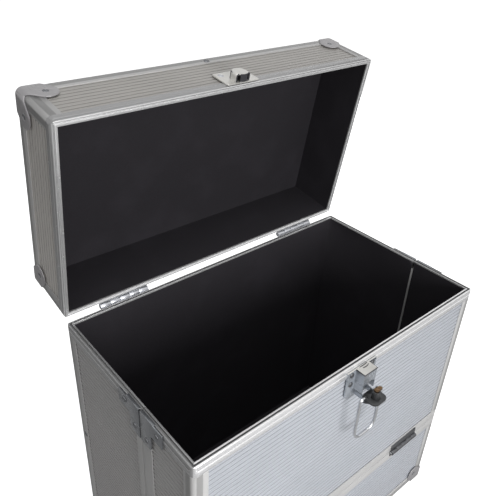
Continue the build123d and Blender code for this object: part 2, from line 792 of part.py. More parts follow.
def latch_lever():
    """Thumb plate with side flanges; slots beside its heel pass the cheeks as it swings."""
    low = pin_up + lever_offset
    plate = latch_block(-lever_half, lever_half, lever_pin_out - lever_heel, lever_pin_out + lever_reach,
                        low, low + lever_thickness)
    plate = fillet(plate.edges().filter_by(Axis.Z).sort_by(Axis.Y)[:2], lever_corner)
    flange_inner = lever_half - lever_flange_thickness
    tongue_half = cheek_centre - cheek_thickness / 2 - tongue_gap
    for side in (-1, 1):
        edges = sorted((side * tongue_half, side * lever_half))
        plate -= latch_block(*edges, 0, lever_pin_out + lever_slot_end, 0, rim_z)
    pin_ear = disc(lever_ear_radius, lever_pin_out, pin_up)
    bail_ear = disc(lever_ear_radius, bail_out, bail_up)
    skirt = Polyline((lever_pin_out, low), (lever_pin_out + lever_reach / 2, low),
                     (lever_pin_out + lever_reach / 2, low + lever_thickness),
                     (lever_pin_out, low + lever_thickness), close=True)
    flange = hull(pin_ear, bail_ear) + hull(pin_ear, skirt)
    flange -= disc(lever_pin_radius + bore_clearance, lever_pin_out, pin_up)
    flange -= disc(bail_wire_radius + bore_clearance, bail_out, bail_up)
    for side in (-1, 1):
        edges = sorted((side * flange_inner, side * lever_half))
        plate += across(flange, *edges)
    return plate - lock_barrel(lock_radius + bore_clearance, low - lever_thickness, low + 2 * lever_thickness)


def lock_barrel(radius, low, high):
    """A cylinder on the lock's axis, upright while the lever is open."""
    cylinder = Cylinder(radius, high - low, align=(Align.CENTER, Align.CENTER, Align.MIN))
    return Pos(latch_x, -half_depth - lever_pin_out - lock_reach, low) * cylinder


def latch_lock():
    """Housing in the lever, the plug that turns in it, and the brass cam on the plug's end."""
    outer_face = pin_up + lever_offset - lock_face_height
    inner_end = pin_up + lever_offset + lever_thickness + lock_length
    housing = lock_barrel(lock_radius, outer_face, inner_end)
    housing -= lock_barrel(plug_radius + bore_clearance, outer_face, inner_end)
    plug = lock_barrel(plug_radius, outer_face, inner_end + bore_clearance)
    low_out = lever_pin_out + lock_reach - keyway_length / 2
    plug -= latch_block(-keyway_width / 2, keyway_width / 2, low_out, low_out + keyway_length,
                        outer_face, outer_face + keyway_depth)
    cam_face = Circle(plug_radius) + Pos(cam_reach / 2 - cam_half_width / 2, 0) * Rectangle(
        cam_reach - cam_half_width, 2 * cam_half_width) + Pos(cam_reach - cam_half_width, 0) * Circle(cam_half_width)
    cam_place = Pos(latch_x, -half_depth - lever_pin_out - lock_reach, inner_end + bore_clearance)
    return {"lock_housing": housing, "lock_plug": plug, "lock_cam": cam_place * extrude(cam_face, cam_thickness)}


def latch_bail():
    """Wire loop hung in the lever's flanges, its two ends turned inwards through them."""
    end = lever_half - lever_flange_thickness - bail_end_gap
    half = bail_half_width
    low = bail_up - bail_length
    y = -half_depth - bail_out
    points = [(-end, bail_up), (-half, bail_up), (-half, low), (half, low), (half, bail_up), (end, bail_up)]
    path = FilletPolyline(*[(latch_x + x, y, up) for x, up in points],
                          radius=[bail_top_corner, bail_bottom_corner, bail_bottom_corner, bail_top_corner])
    start = Plane(origin=(latch_x - end, y, bail_up), z_dir=(-1, 0, 0))
    return sweep(start * Circle(bail_wire_radius), path=path)


def latch_keeper():
    """Plate on the lid front with a rounded hood, open towards the rim, that the bail hooks over."""
    middle = lid_z + keeper_start + keeper_height / 2
    plate = extrude(RectangleRounded(keeper_width, keeper_height, keeper_corner), amount=keeper_thickness)
    keeper = Pos(0, middle, 0) * plate
    radius = hood_width / 2
    length = hood_end - hood_start

    def dome(shrink, drop):
        """The hood's solid, smaller by shrink and reaching drop further at the mouth."""
        body = Pos(0, (length - radius - drop) / 2) * Rectangle(hood_width - 2 * shrink, length - radius + drop)
        plan = body + Pos(0, length - radius) * Circle(radius - shrink)
        solid = extrude(plan, amount=hood_out - shrink)
        edges = solid.edges().filter_by(lambda edge: edge.center().Z > hood_out - shrink - edge_tolerance)
        rounded = [edge for edge in edges if edge.center().Y > -drop + edge_tolerance]
        return fillet(rounded, hood_edge - shrink / 2)

    low = lid_z + hood_start
    keeper += Pos(0, low, 0) * dome(0, 0)
    hollow = dome(hood_wall, 1) - block((-radius, -radius, 0), (radius, 2 * radius, keeper_thickness))
    keeper -= Pos(0, low, 0) * hollow
    for side in (-1, 1):
        sink = Cone(keeper_screw_radius - keeper_thickness, keeper_screw_radius, keeper_thickness,
                    align=(Align.CENTER, Align.CENTER, Align.MIN))
        keeper -= Pos(side * keeper_screw_x, lid_z + keeper_screw_up, 0) * sink
    return on_front(0, keeper)


def keeper_screws():
    sunk = Cone(keeper_screw_radius - keeper_thickness, keeper_screw_radius, keeper_thickness,
                align=(Align.CENTER, Align.CENTER, Align.MIN))
    top = Pos(0, 0, keeper_thickness) * Cone(keeper_screw_radius, keeper_screw_radius * keeper_screw_top_ratio,
                                             keeper_screw_height, align=(Align.CENTER, Align.CENTER, Align.MIN))
    screw = sunk + top
    up = lid_z + keeper_screw_up
    return Compound([on_front(0, Pos(side * keeper_screw_x, up, 0) * screw) for side in (-1, 1)])


# --- Carrying handle, drawn on the closed lid and folded to the back --------------------------------------------

handle_z = lid_top - skin
handle_axis_z = handle_z + handle_axis_height


def handle_brackets():
    """Two riveted plates on the lid top, each with an upright ear for the end of the bow."""
    plate = extrude(RectangleRounded(handle_plate_width, handle_plate_length, handle_plate_corner),
                    amount=handle_plate_thickness)
    plate = Pos(handle_ear_centre, 0, handle_z) * plate
    foot = Polyline((-handle_plate_width / 2, handle_z), (handle_plate_width / 2, handle_z),
                    (handle_plate_width / 2, handle_z + handle_plate_thickness),
                    (-handle_plate_width / 2, handle_z + handle_plate_thickness), close=True)
    ear = hull(foot, disc(handle_ear_radius, 0, handle_axis_z))
    ear -= disc(handle_rod_radius + bore_clearance, 0, handle_axis_z)
    plane = Plane.YZ.offset(handle_ear_centre - handle_ear_thickness / 2)
    return both_sides(plate + extrude(plane * ear, amount=handle_ear_thickness))


def handle_rivets():
    piece = rivet(bracket_rivet_radius, bracket_rivet_height)
    height = handle_z + handle_plate_thickness
    right = [Pos(handle_ear_centre, side * handle_rivet_y, height) * piece for side in (-1, 1)]
    return both_sides(Compound(right))


def handle_bow():
    """Steel rod bent to a bow, its ends turned inwards through the ears."""
    end = handle_ear_centre - handle_ear_thickness
    half = handle_half_span
    points = [(-end, 0), (-half, 0), (-half, handle_arm), (half, handle_arm), (half, 0), (end, 0)]
    path = FilletPolyline(*[(x, y, handle_axis_z) for x, y in points],
                          radius=[handle_end_corner, handle_bow_corner, handle_bow_corner, handle_end_corner])
    start = Plane(origin=(-end, 0, handle_axis_z), z_dir=(-1, 0, 0))
    return sweep(start * Circle(handle_rod_radius), path=path)


def handle_grip():
    section = Ellipse(grip_width / 2, grip_thickness / 2) - Circle(handle_rod_radius)
    plane = Plane(origin=(-grip_length / 2, handle_arm, handle_axis_z), x_dir=(0, 1, 0), z_dir=(1, 0, 0))
    return extrude(plane * section, amount=grip_length)


# --- Assembly --------------------------------------------------------------------------------------------------

parts = body_panels()
parts.update(body_profiles(parts["right_side_panel"]))
parts.update(body_linings())
parts["bottom_corner_caps"] = at_corners(Pos(0, 0, foot_height) * corner_cap())
parts["body_rivets"] = body_rivets()
parts["feet"] = feet()
parts["foot_screws"] = foot_screws()
parts["body_split_brackets"] = split_brackets(split_back + bracket_edge_gap, 1, body_bracket_length)
parts["lid_hinge_body_leaves"] = lid_hinge_body_leaf()
parts["lid_hinge_pins"] = hinge_pins(lid_hinge_x, lid_hinge_length, lid_pin_radius, lid_axis_y, lid_axis_z)
parts["front_hinge_body_leaves"] = front_hinge_leaf(0, seam_z - front_body_leaf_height, seam_z)
parts["front_hinge_pins"] = hinge_pins(front_hinge_x, front_hinge_length, front_pin_radius, front_axis_y, seam_z)

parts.update(flap_panels())
parts.update(flap_profiles())
parts["flap_lining"] = flap_lining()
parts["flap_split_brackets"] = split_brackets(split_front - bracket_edge_gap, -1, wing_bracket_length)
parts["flap_bracket_rivets"] = bracket_rivets(split_front - bracket_edge_gap, -1, wing_bracket_rivets)
parts["front_hinge_flap_leaves"] = front_hinge_leaf(1, seam_z, seam_z + flap_leaf_height)
parts["latch_base"] = latch_base()
parts["latch_rivets"] = latch_rivets()
parts["lever_pin"] = across(disc(lever_pin_radius, lever_pin_out, pin_up), -lever_half, lever_half)
parts["latch_lever"] = latch_lever()
parts.update(latch_lock())
parts["latch_bail"] = latch_bail()

on_lid = lid_panels()
on_lid.update(lid_profiles())
on_lid["lid_lining"] = lid_lining()
on_lid["lid_corner_caps"] = at_corners(Pos(0, 0, lid_top) * mirror(corner_cap(), about=Plane.XY))
on_lid["lid_rivets"] = lid_rivets()
on_lid["latch_keeper"] = latch_keeper()
on_lid["keeper_screws"] = keeper_screws()
on_lid["lid_hinge_lid_leaves"] = lid_hinge_lid_leaf()
on_lid["handle_brackets"] = handle_brackets()
on_lid["handle_rivets"] = handle_rivets()
on_lid["handle_bow"] = handle_bow()
on_lid["handle_grip"] = handle_grip()

# The lid is drawn closed and opened here about its hinge.
open_lid = Pos(0, lid_axis_y, lid_axis_z) * Rot(-lid_open_angle, 0, 0) * Pos(0, -lid_axis_y, -lid_axis_z)
for name, shape in on_lid.items():
    parts[name] = open_lid * shape

# The origin lies on the ground below the middle of the open case, lever and handle included.
front_end = min(shape.bounding_box().min.Y for shape in parts.values())
back_end = max(shape.bounding_box().max.Y for shape in parts.values())
case_y = -(front_end + back_end) / 2
for name, shape in parts.items():
    export_step(Pos(0, case_y, 0) * shape, f"parts/{name}.step")
print("case shifted by", round(case_y, 3), "front", round(front_end, 3), "back", round(back_end, 3))
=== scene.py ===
import json
from math import cos, pi, radians, sin

import bmesh
import bpy
from bpy.props import FloatProperty, FloatVectorProperty, IntProperty, PointerProperty
from mathutils import Matrix, Vector, noise


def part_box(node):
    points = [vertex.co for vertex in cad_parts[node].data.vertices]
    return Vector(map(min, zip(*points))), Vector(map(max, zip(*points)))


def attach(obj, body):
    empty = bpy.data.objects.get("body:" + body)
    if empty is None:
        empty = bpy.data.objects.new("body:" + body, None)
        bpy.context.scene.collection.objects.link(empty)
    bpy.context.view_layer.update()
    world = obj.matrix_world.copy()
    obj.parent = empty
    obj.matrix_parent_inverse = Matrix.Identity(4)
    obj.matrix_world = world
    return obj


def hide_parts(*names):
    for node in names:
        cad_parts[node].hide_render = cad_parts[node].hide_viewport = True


bl_info = {
    "name": "Record carrying case",
    "version": (1, 0, 0),
    "blender": (4, 5, 0),
    "location": "View3D > Sidebar > Record case",
    "description": "Dresses the record case frame with its finishes, linings, latch and rivets",
    "category": "Object",
}

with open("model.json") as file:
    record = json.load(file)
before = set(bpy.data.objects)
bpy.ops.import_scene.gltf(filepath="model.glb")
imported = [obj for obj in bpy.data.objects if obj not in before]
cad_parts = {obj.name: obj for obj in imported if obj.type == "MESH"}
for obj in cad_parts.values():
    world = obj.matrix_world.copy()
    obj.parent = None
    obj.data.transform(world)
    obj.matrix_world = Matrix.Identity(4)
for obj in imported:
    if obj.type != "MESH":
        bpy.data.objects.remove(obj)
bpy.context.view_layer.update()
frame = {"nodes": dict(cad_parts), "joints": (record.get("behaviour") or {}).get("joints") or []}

MM = 0.001
JOINTS = {joint["name"]: joint for joint in frame["joints"]}
LID_HINGE = Vector(JOINTS["lid_hinge"]["pos_m"])
LID_OPEN = radians(-JOINTS["lid_hinge"]["range_deg"][0])
OPEN_LID = Matrix.Translation(LID_HINGE) @ Matrix.Rotation(-LID_OPEN, 4, "X") @ Matrix.Translation(-LID_HINGE)
CLOSE_LID = OPEN_LID.inverted()
SKIN = 0.9 * MM
FRONT_LEG = 11.5 * MM
HALF_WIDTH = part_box("body_rim")[1][0]
CENTRE = {"X": 0.0, "Y": (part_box("lower_front_posts")[0][1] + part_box("rear_corner_posts")[1][1]) / 2, "Z": 0.0}
HALF_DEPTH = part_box("rear_corner_posts")[1][1] - CENTRE["Y"]
FOOT_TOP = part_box("bottom_edge_frame")[0][2]


def closed_heights(node):
    """Heights of a lid node's vertices with the lid shut."""
    return [(CLOSE_LID @ vertex.co).z for vertex in frame["nodes"][node].data.vertices]


LID_TOP = max(closed_heights("lid_edge_frame"))
LID_LOW = min(closed_heights("lid_rim"))
GROOVE = (0.05 * MM, 0.25 * MM)          # depths at which the painted shade in the grooves starts and is full
LAP = (0.5 * MM, 2.0 * MM)               # reach of the shadow where a groove runs in under a profile
SIDE_LEG = (0.3 * MM, 1.2 * MM)          # depth of a profile's leg on the case's side, painted darker as shade
SIDE_RIM = (4.6 * MM, 5.2 * MM)          # width of a rim's side member, painted darker as shade
RIM_CHANNEL = (1.8 * MM, 3.7 * MM)       # channel of the body's rims, in from their outer face, painted darker as shade
# channel of the lid's rim, painted darker as shade
LID_CHANNEL = (1.3 * MM, 2.1 * MM)
LID_LIP = (1.2 * MM, 2.0 * MM)           # height of the lid rim's lip, below the painted shade on the rest of its leg
# bands, in from a corner, where a profile's hollow gets painted shade
POST_BAND = ("post", 3.0 * MM, 9.0 * MM)
BOTTOM_BAND = ("bottom", 3.5 * MM, 12.0 * MM)
LID_BAND = ("top", 2.5 * MM, 9.8 * MM)
HOLLOW_RIVET = (2.9 * MM, 1.2 * MM)      # radius and height of a head
DOMED_RIVET = (2.4 * MM, 1.1 * MM)
KEEPER_SCREW = (2.8 * MM, 0.8 * MM)
CAP_EDGE = 0.45 * MM
FOOT_EDGE = 0.8 * MM
GRIP_EDGE = 1.5 * MM
SLOT_RADIUS = 0.55 * MM
SLOT_SINK = 0.3 * MM
LEAF_GAP = 0.06 * MM
HOOD_HALF_WIDTH = 6.95 * MM
HOOD_FRONT = 0.7 * MM
HOOD_PLATE = 1.05 * MM
HOOD_HEIGHT = 14.5 * MM
# painted shade: the slot lines and the shadow line under the lock box's top plate
LOCK_BOX_SHADE_LINES = (                       # across, out and up from the top rear edge of the latch base, in mm
    ((-2.4, 3.3, 0), (0.4, 3.6, 0), (3.2, 3.4, 0), (5.2, 2.6, 0)),
    ((-3.9, 1.1, 0), (1.4, 1.1, 0), (5.5, 0.8, 0)),
    ((8.4, 1.1, -1.2), (13.0, 1.1, -1.4), (17.4, 1.1, -2.0)),
    ((-7.9, 1.2, -0.55), (-7.9, 10.1, -0.55), (7.9, 10.1, -0.55), (7.9, 1.2, -0.55)),
)
LIGHTS = (                               # name, place, target, size, power setting, seen in reflections
    ("key_light", (-0.13, -0.9, 0.5), (0, 0, 0.25), (0.5, 0.4), "key", True),
    ("back_light", (1.1, 1.2, 0.45), (0, 0.1, 0.2), (1.0, 0.8), "back", False),
    ("top_light", (-0.2, -0.3, 2.4), (0, 0.05, 0.2), (1.5, 1.5), "fill", True),
)
MADE = {}


def colour(name, description, default):
    return FloatVectorProperty(name=name, description=description, subtype="COLOR", size=3, min=0, max=1,
                               default=default)


def length(name, description, default):
    return FloatProperty(name=name, description=description, default=default, min=0, subtype="DISTANCE", unit="LENGTH")


class CaseFinishes(bpy.types.PropertyGroup):
    """Colours of the case's finishes."""
    sheet: colour("Ribbed sheet", "Silver sheet of the walls", (0.585, 0.61, 0.66))
    profile: colour("Profiles", "Satin aluminium extrusions", (0.66, 0.655, 0.65))
    rim: colour("Rims", "Bright drawn rim profiles", (0.86, 0.86, 0.865))
    lid_sheet: colour("Lid sheet", "Silver sheet of the lid walls", (0.62, 0.595, 0.565))
    steel: colour("Plated steel", "Hinges and handle fittings", (0.58, 0.59, 0.62))
    bracket: colour("Bracket steel", "Brackets at the split", (0.24, 0.25, 0.265))
    latch: colour("Latch steel", "Latch base", (0.43, 0.46, 0.50))
    keeper: colour("Keeper steel", "Keeper on the lid", (0.70, 0.69, 0.66))
    cap: colour("Corner caps", "Satin pressed corner caps", (0.40, 0.39, 0.40))
    chrome: colour("Chrome", "Latch lever, bail and handle bow", (0.62, 0.63, 0.65))
    # painted shade black: it darkens the keeper hood's inside, the lock box slots and the seam under its top plate
    oxide: colour("Blackened steel", "Hollows of rivets and slots of screws", (0.035, 0.035, 0.04))
    lining: colour("Lining", "Dark lining inside the case", (0.019, 0.017, 0.021))
    brass: colour("Brass", "Lock cam", (0.20, 0.125, 0.068))
    rubber: colour("Rubber", "Feet", (0.02, 0.02, 0.021))
    grip: colour("Grip", "Moulded handle grip", (0.02, 0.02, 0.022))


class CaseSizes(bpy.types.PropertyGroup):
    """Sizes of the added detail."""
    edge: length("Edge rounding", "Rounding of the extruded and pressed edges", 0.25 * MM)
    rivet_segments: IntProperty(name="Rivet segments", description="Sides of a rivet head", default=24, min=8, max=48)
    lining_cell: length("Lining cell", "Mesh size of the cloth lining", 6 * MM)
    lining_wave: length("Lining wave", "How far the glued lining lifts and dips", 0.3 * MM)
    seed: IntProperty(name="Seed", description="Seed of the lining's waves and the screws' turns", default=7)


class StageSettings(bpy.types.PropertyGroup):
    """Camera and light of the studio."""
    camera_place: FloatVectorProperty(name="Camera", description="Camera position", subtype="TRANSLATION", size=3,
                                      default=(-0.3117, -0.3171, 0.6146))
    turn: FloatProperty(name="Turn", description="Camera heading", subtype="ANGLE", default=radians(-40.56))
    tilt: FloatProperty(name="Tilt", description="Camera tilt downwards", subtype="ANGLE", default=radians(30.29))
    roll: FloatProperty(name="Roll", description="Camera roll", subtype="ANGLE", default=radians(2.25))
    key: FloatProperty(name="Key", description="Power of the front light", subtype="POWER", unit="POWER", default=5.8)
    fill: FloatProperty(name="Fill", description="Power of the overhead light", subtype="POWER", unit="POWER",
                        default=14)
    back: FloatProperty(name="Back", description="Power of the light behind", subtype="POWER", unit="POWER", default=16)
    ambient: FloatProperty(name="Ambient", description="Strength of the world", default=0.136, min=0)
    floor: colour("Floor", "Pale studio floor", (0.60, 0.60, 0.60))


# --- Shader expressions ----------------------------------------------------------------------------------------

class Number:
    """A value socket in an expression; its operators add Math nodes."""

    def __init__(self, nodes, socket):
        self.nodes = nodes
        self.socket = socket

    def __add__(self, other):
        return self.nodes.maths("ADD", self, other)

    def __radd__(self, other):
        return self.nodes.maths("ADD", other, self)

    def __sub__(self, other):
        return self.nodes.maths("SUBTRACT", self, other)

    def __rsub__(self, other):
        return self.nodes.maths("SUBTRACT", other, self)

    def __mul__(self, other):
        return self.nodes.maths("MULTIPLY", self, other)

    def __rmul__(self, other):
        return self.nodes.maths("MULTIPLY", other, self)


class Nodes:
    """A node tree and the way that nodes are added to it."""

    def __init__(self, tree):
        self.tree = tree
        tree.nodes.clear()

    def node(self, kind, settings=None, inputs=None):
        node = self.tree.nodes.new(kind)
        for name, value in (settings or {}).items():
            setattr(node, name, value)
        for name, value in (inputs or {}).items():
            for item in value if isinstance(value, list) else [value]:
                item = item.socket if isinstance(item, Number) else item
                if isinstance(item, bpy.types.NodeSocket):
                    self.tree.links.new(item, node.inputs[name])
                else:
                    node.inputs[name].default_value = item
        return node

    def number(self, kind, settings=None, inputs=None, output=0):
        return Number(self, self.node(kind, settings, inputs).outputs[output])

    def maths(self, operation, *values):
        return self.number("ShaderNodeMath", {"operation": operation}, dict(enumerate(values)))


class Paint(Nodes):
    """One material and the nodes that its recipe adds."""

    def __init__(self, name, lid=False):
        self.material = bpy.data.materials.new(name)
        self.material.use_nodes = True
        super().__init__(self.material.node_tree)
        self.output = self.node("ShaderNodeOutputMaterial")
        self.place = self.node("ShaderNodeTexCoord").outputs["Object"]
        if lid:
            self.close_lid()

    def close_lid(self):
        """Puts every later coordinate where the closed lid has it."""
        turn = CLOSE_LID.to_euler()
        inputs = {"Vector": self.place, "Location": CLOSE_LID.translation, "Rotation": turn}
        self.place = self.node("ShaderNodeMapping", {}, inputs).outputs[0]

    def scaled(self, scale, offset):
        """Object coordinates, stretched by a factor along each axis."""
        inputs = {"Vector": self.place, "Scale": scale, "Location": offset}
        return self.node("ShaderNodeMapping", {}, inputs).outputs[0]

    def noise(self, scale, detail, stretch=(1, 1, 1), offset=(0, 0, 0)):
        inputs = {"Vector": self.scaled(stretch, offset), "Scale": scale, "Detail": detail}
        return self.number("ShaderNodeTexNoise", {}, inputs)

    def axis(self, name):
        return Number(self, self.node("ShaderNodeSeparateXYZ", {}, {0: self.place}).outputs[name])

    def size_of(self, value):
        return self.maths("ABSOLUTE", value)

    def least(self, first, second):
        return self.maths("MINIMUM", first, second)

    def most(self, first, second):
        return self.maths("MAXIMUM", first, second)

    def between(self, value, low, high, to_low=0.0, to_high=1.0):
        inputs = {"Value": value, "From Min": low, "From Max": high, "To Min": to_low, "To Max": to_high}
        return self.number("ShaderNodeMapRange", {"clamp": True}, inputs)

    def mixed(self, factor, first, second):
        """A colour between two colours, each a colour socket or three channels."""
        colours = [(*item, 1) if isinstance(item, tuple) else item for item in (first, second)]
        node = self.node("ShaderNodeMix", {"data_type": "RGBA"}, {0: factor, 6: colours[0], 7: colours[1]})
        return node.outputs[2]

    def inward(self):
        """How far a point is in from the nearer side of the case, and from its nearer front or back."""
        return (HALF_WIDTH - self.size_of(self.axis("X")),
                HALF_DEPTH - self.size_of(self.axis("Y") - CENTRE["Y"]))

    def by_side(self, near, far):
        """1 on the members that run along the sides of the case, 0 further in and past a corner's mitre."""
        x, y = self.inward()
        return self.between(x, near, far, 1, 0) * self.between(y - x, 0.0, 0.3 * MM)

    def bump(self, height, strength, distance):
        inputs = {"Height": height, "Strength": strength, "Distance": distance}
        return self.node("ShaderNodeBump", {}, inputs).outputs[0]

    def surface(self, inputs):
        shader = self.node("ShaderNodeBsdfPrincipled", {}, inputs)
        self.tree.links.new(shader.outputs[0], self.output.inputs["Surface"])
        return self.material


def shade(base, factor):
    return tuple(min(1.0, channel * factor) for channel in base)


def silver_sheet(name, base, face, along, ends, lid=False, metallic=0.16):
    """Silver ribbed sheet: rolling streaks, a soft mottle, rubbed patches and painted shade down in the grooves.

    face is the axis across the sheet with the place of its outer face, along is the axis of the ribs, and ends are
    the places on it where a profile laps over the sheet and the grooves run in under it, each with the height that
    the profile starts at."""
    paint = Paint(name, lid)
    axis, outer = face
    depth = outer - paint.size_of(paint.axis(axis) - CENTRE[axis])
    groove = paint.between(depth, *GROOVE)
    shadow = None
    for end, above in ends:
        lap = paint.between(paint.size_of(paint.axis(along) - end), *LAP, 1, 0)
        lap = lap * paint.between(paint.axis("Z"), above, above + 1.0 * MM)
        shadow = lap if shadow is None else paint.most(shadow, lap)
    stretch = {"X": (0.02, 1, 1), "Y": (1, 0.02, 1)}[along]
    streaks = paint.noise(scale=420, detail=3, stretch=stretch)
    mottle = paint.noise(scale=18, detail=4)
    grain = paint.noise(scale=2600, detail=2)
    worn = paint.between(paint.noise(scale=9, detail=5, offset=(3, 1, 2)), 0.52, 0.75)
    tone = 0.55 * mottle + 0.45 * streaks
    first = paint.mixed(paint.between(tone, 0.35, 0.65), shade(base, 0.95), shade(base, 1.04))
    second = paint.mixed(worn * 0.2, first, shade(base, 0.9))
    # painted shade: the grooves are darker, and darker still as a painted shadow where they run in under a profile
    groove_shade = groove * (0.45 + 0.5 * shadow)
    return paint.surface({"Base Color": paint.mixed(groove_shade, second, shade(base, 0.12)), "Metallic": metallic,
                          "Roughness": 0.36 + 0.12 * worn + 0.06 * streaks,
                          "Normal": paint.bump(0.3 * grain + 0.7 * streaks, 0.06, 0.1 * MM)})


def corner_distance(paint, kind):
    """How far a point of a post or an edge frame is from the corner that its two legs share."""
    x, y = paint.inward()
    if kind == "post":
        return paint.most(x, y)
    z = LID_TOP - paint.axis("Z") if kind == "top" else paint.axis("Z") - FOOT_TOP
    return paint.most(paint.least(x, y), z)


def satin_profile(name, base, stretch, metallic=0.12, lid=False, band=None):
    """Satin anodised extrusion with drawing lines along its length, small scuffs and painted shade."""
    paint = Paint(name, lid)
    lines = paint.noise(scale=900, detail=2, stretch=stretch)
    mottle = paint.noise(scale=30, detail=4)
    scuffs = paint.between(paint.noise(scale=70, detail=6, offset=(1, 4, 2)), 0.6, 0.74)
    tone = 0.5 * lines + 0.5 * mottle
    first = paint.mixed(paint.between(tone, 0.3, 0.7), shade(base, 0.95), shade(base, 1.05))
    # painted shade: off the lid, the legs on the case's sides are darker
    if not lid:
        first = paint.mixed(0.4 * paint.by_side(*SIDE_LEG), first, shade(base, 0.4))
    # painted shade in the band of the profile's hollow
    if band is not None:
        kind, low, high = band
        inward = corner_distance(paint, kind)
        hollow = paint.between(inward, low, low + 0.8 * MM) * paint.between(inward, high - 0.8 * MM, high, 1, 0)
        first = paint.mixed(0.7 * hollow, first, shade(base, 0.4))
    return paint.surface({"Base Color": paint.mixed(scuffs * 0.25, first, shade(base, 0.78)), "Metallic": metallic,
                          "Roughness": 0.3 + 0.1 * lines + 0.12 * scuffs,
                          "Normal": paint.bump(lines, 0.05, 0.05 * MM)})


def bright_rim(name, base, lid=False):
    """Bright rim profile: drawn lips with painted shade in the rougher channel between them."""
    paint = Paint(name, lid)
    inward = paint.least(*paint.inward())
    start, end = LID_CHANNEL if lid else RIM_CHANNEL
    soft = 0.1 * MM
    channel = paint.between(inward, start - soft, start + soft) * paint.between(inward, end - soft, end + soft, 1, 0)
    lines = paint.noise(scale=1400, detail=2, stretch=(0.2, 0.2, 1))
    nicks = paint.between(paint.noise(scale=220, detail=4, offset=(5, 2, 1)), 0.66, 0.76)
    # painted shade in the channel, with real nicks scattered over the rim
    channel_shade_and_nicks = paint.most(0.9 * channel, 0.3 * nicks)
    first = paint.mixed(paint.between(lines, 0.3, 0.7), shade(base, 0.94), shade(base, 1.03))
    # painted shade: darker body rim side members and lid rim leg above its lip, so only the lip stays bright
    dark = paint.between(paint.axis("Z") - LID_LOW, *LID_LIP) if lid else paint.by_side(*SIDE_RIM)
    first = paint.mixed(0.75 * dark, first, shade(base, 0.25))
    return paint.surface({"Base Color": paint.mixed(channel_shade_and_nicks, first, shade(base, 0.3)), "Metallic": 0.6 - 0.4 * dark,
                          "Roughness": 0.26 + 0.2 * channel_shade_and_nicks, "Normal": paint.bump(lines, 0.04, 0.05 * MM)})


def plated_steel(name, base, roughness, metallic):
    """Nickel plated pressed steel: soft clouding, hairline scratches and a few pin marks."""
    paint = Paint(name)
    cloud = paint.noise(scale=45, detail=4)
    hairs = paint.between(paint.noise(scale=700, detail=1, stretch=(1.0, 0.05, 0.3)), 0.66, 0.72)
    pits = paint.between(paint.noise(scale=1100, detail=1, offset=(2, 0, 5)), 0.74, 0.8)
    tone = paint.mixed(paint.between(cloud, 0.3, 0.7), shade(base, 0.93), shade(base, 1.05))
    marks = 0.25 * hairs + 0.5 * pits
    return paint.surface({"Base Color": paint.mixed(marks, tone, shade(base, 0.5)), "Metallic": metallic,
                          "Roughness": roughness + 0.08 * cloud + 0.12 * hairs,
                          "Normal": paint.bump(0.4 * hairs + 0.6 * cloud, 0.05, 0.05 * MM)})


def smoked_chrome(name, base):
    """Smooth dark plating, softly clouded, with faint prints."""
    paint = Paint(name)
    cloud = paint.noise(scale=80, detail=3)
    prints = paint.between(paint.noise(scale=150, detail=5, offset=(4, 4, 1)), 0.5, 0.8)
    tone = paint.mixed(paint.between(cloud, 0.35, 0.65), shade(base, 0.85), shade(base, 1.2))
    return paint.surface({"Base Color": paint.mixed(0.3 * prints, tone, shade(base, 1.6)), "Metallic": 0.5,
                          "Roughness": 0.3 + 0.15 * prints, "Normal": paint.bump(cloud, 0.03, 0.05 * MM)})


def dark_lining(name, base):
    """Matte dark lining with a fine pressed grain and faint dust."""
    paint = Paint(name)
    grain = paint.noise(scale=1500, detail=3)
    pores = paint.number("ShaderNodeTexVoronoi", {"feature": "F1"}, {"Vector": paint.place, "Scale": 900.0})
    dust = paint.between(paint.noise(scale=26, detail=6), 0.5, 0.75)
    tone = paint.mixed(paint.between(grain, 0.3, 0.7), shade(base, 0.75), shade(base, 1.35))
    return paint.surface({"Base Color": paint.mixed(dust * 0.35, tone, shade(base, 2.2)),
                          "Roughness": 0.72 + 0.12 * grain, "Specular IOR Level": 0.35,
                          "Normal": paint.bump(0.7 * pores + 0.3 * grain, 0.35, 0.15 * MM)})


def brass_metal(name, base):
    """Dull, clouded brass."""
    paint = Paint(name)
    cloud = paint.noise(scale=400, detail=4)
    tone = paint.mixed(paint.between(cloud, 0.35, 0.65), shade(base, 0.3), shade(base, 1.2))
    return paint.surface({"Base Color": tone, "Metallic": 1.0, "Roughness": 0.25 + 0.2 * cloud})


def soft_black(name, base, roughness):
    """Moulded rubber or plastic with a fine stipple."""
    paint = Paint(name)
    stipple = paint.noise(scale=2200, detail=2)
    scuffs = paint.between(paint.noise(scale=60, detail=6), 0.55, 0.75)
    tone = paint.mixed(scuffs * 0.5, shade(base, 1.0), shade(base, 2.4))
    return paint.surface({"Base Color": tone, "Roughness": roughness + 0.15 * scuffs,
                          "Normal": paint.bump(stipple, 0.25, 0.08 * MM)})


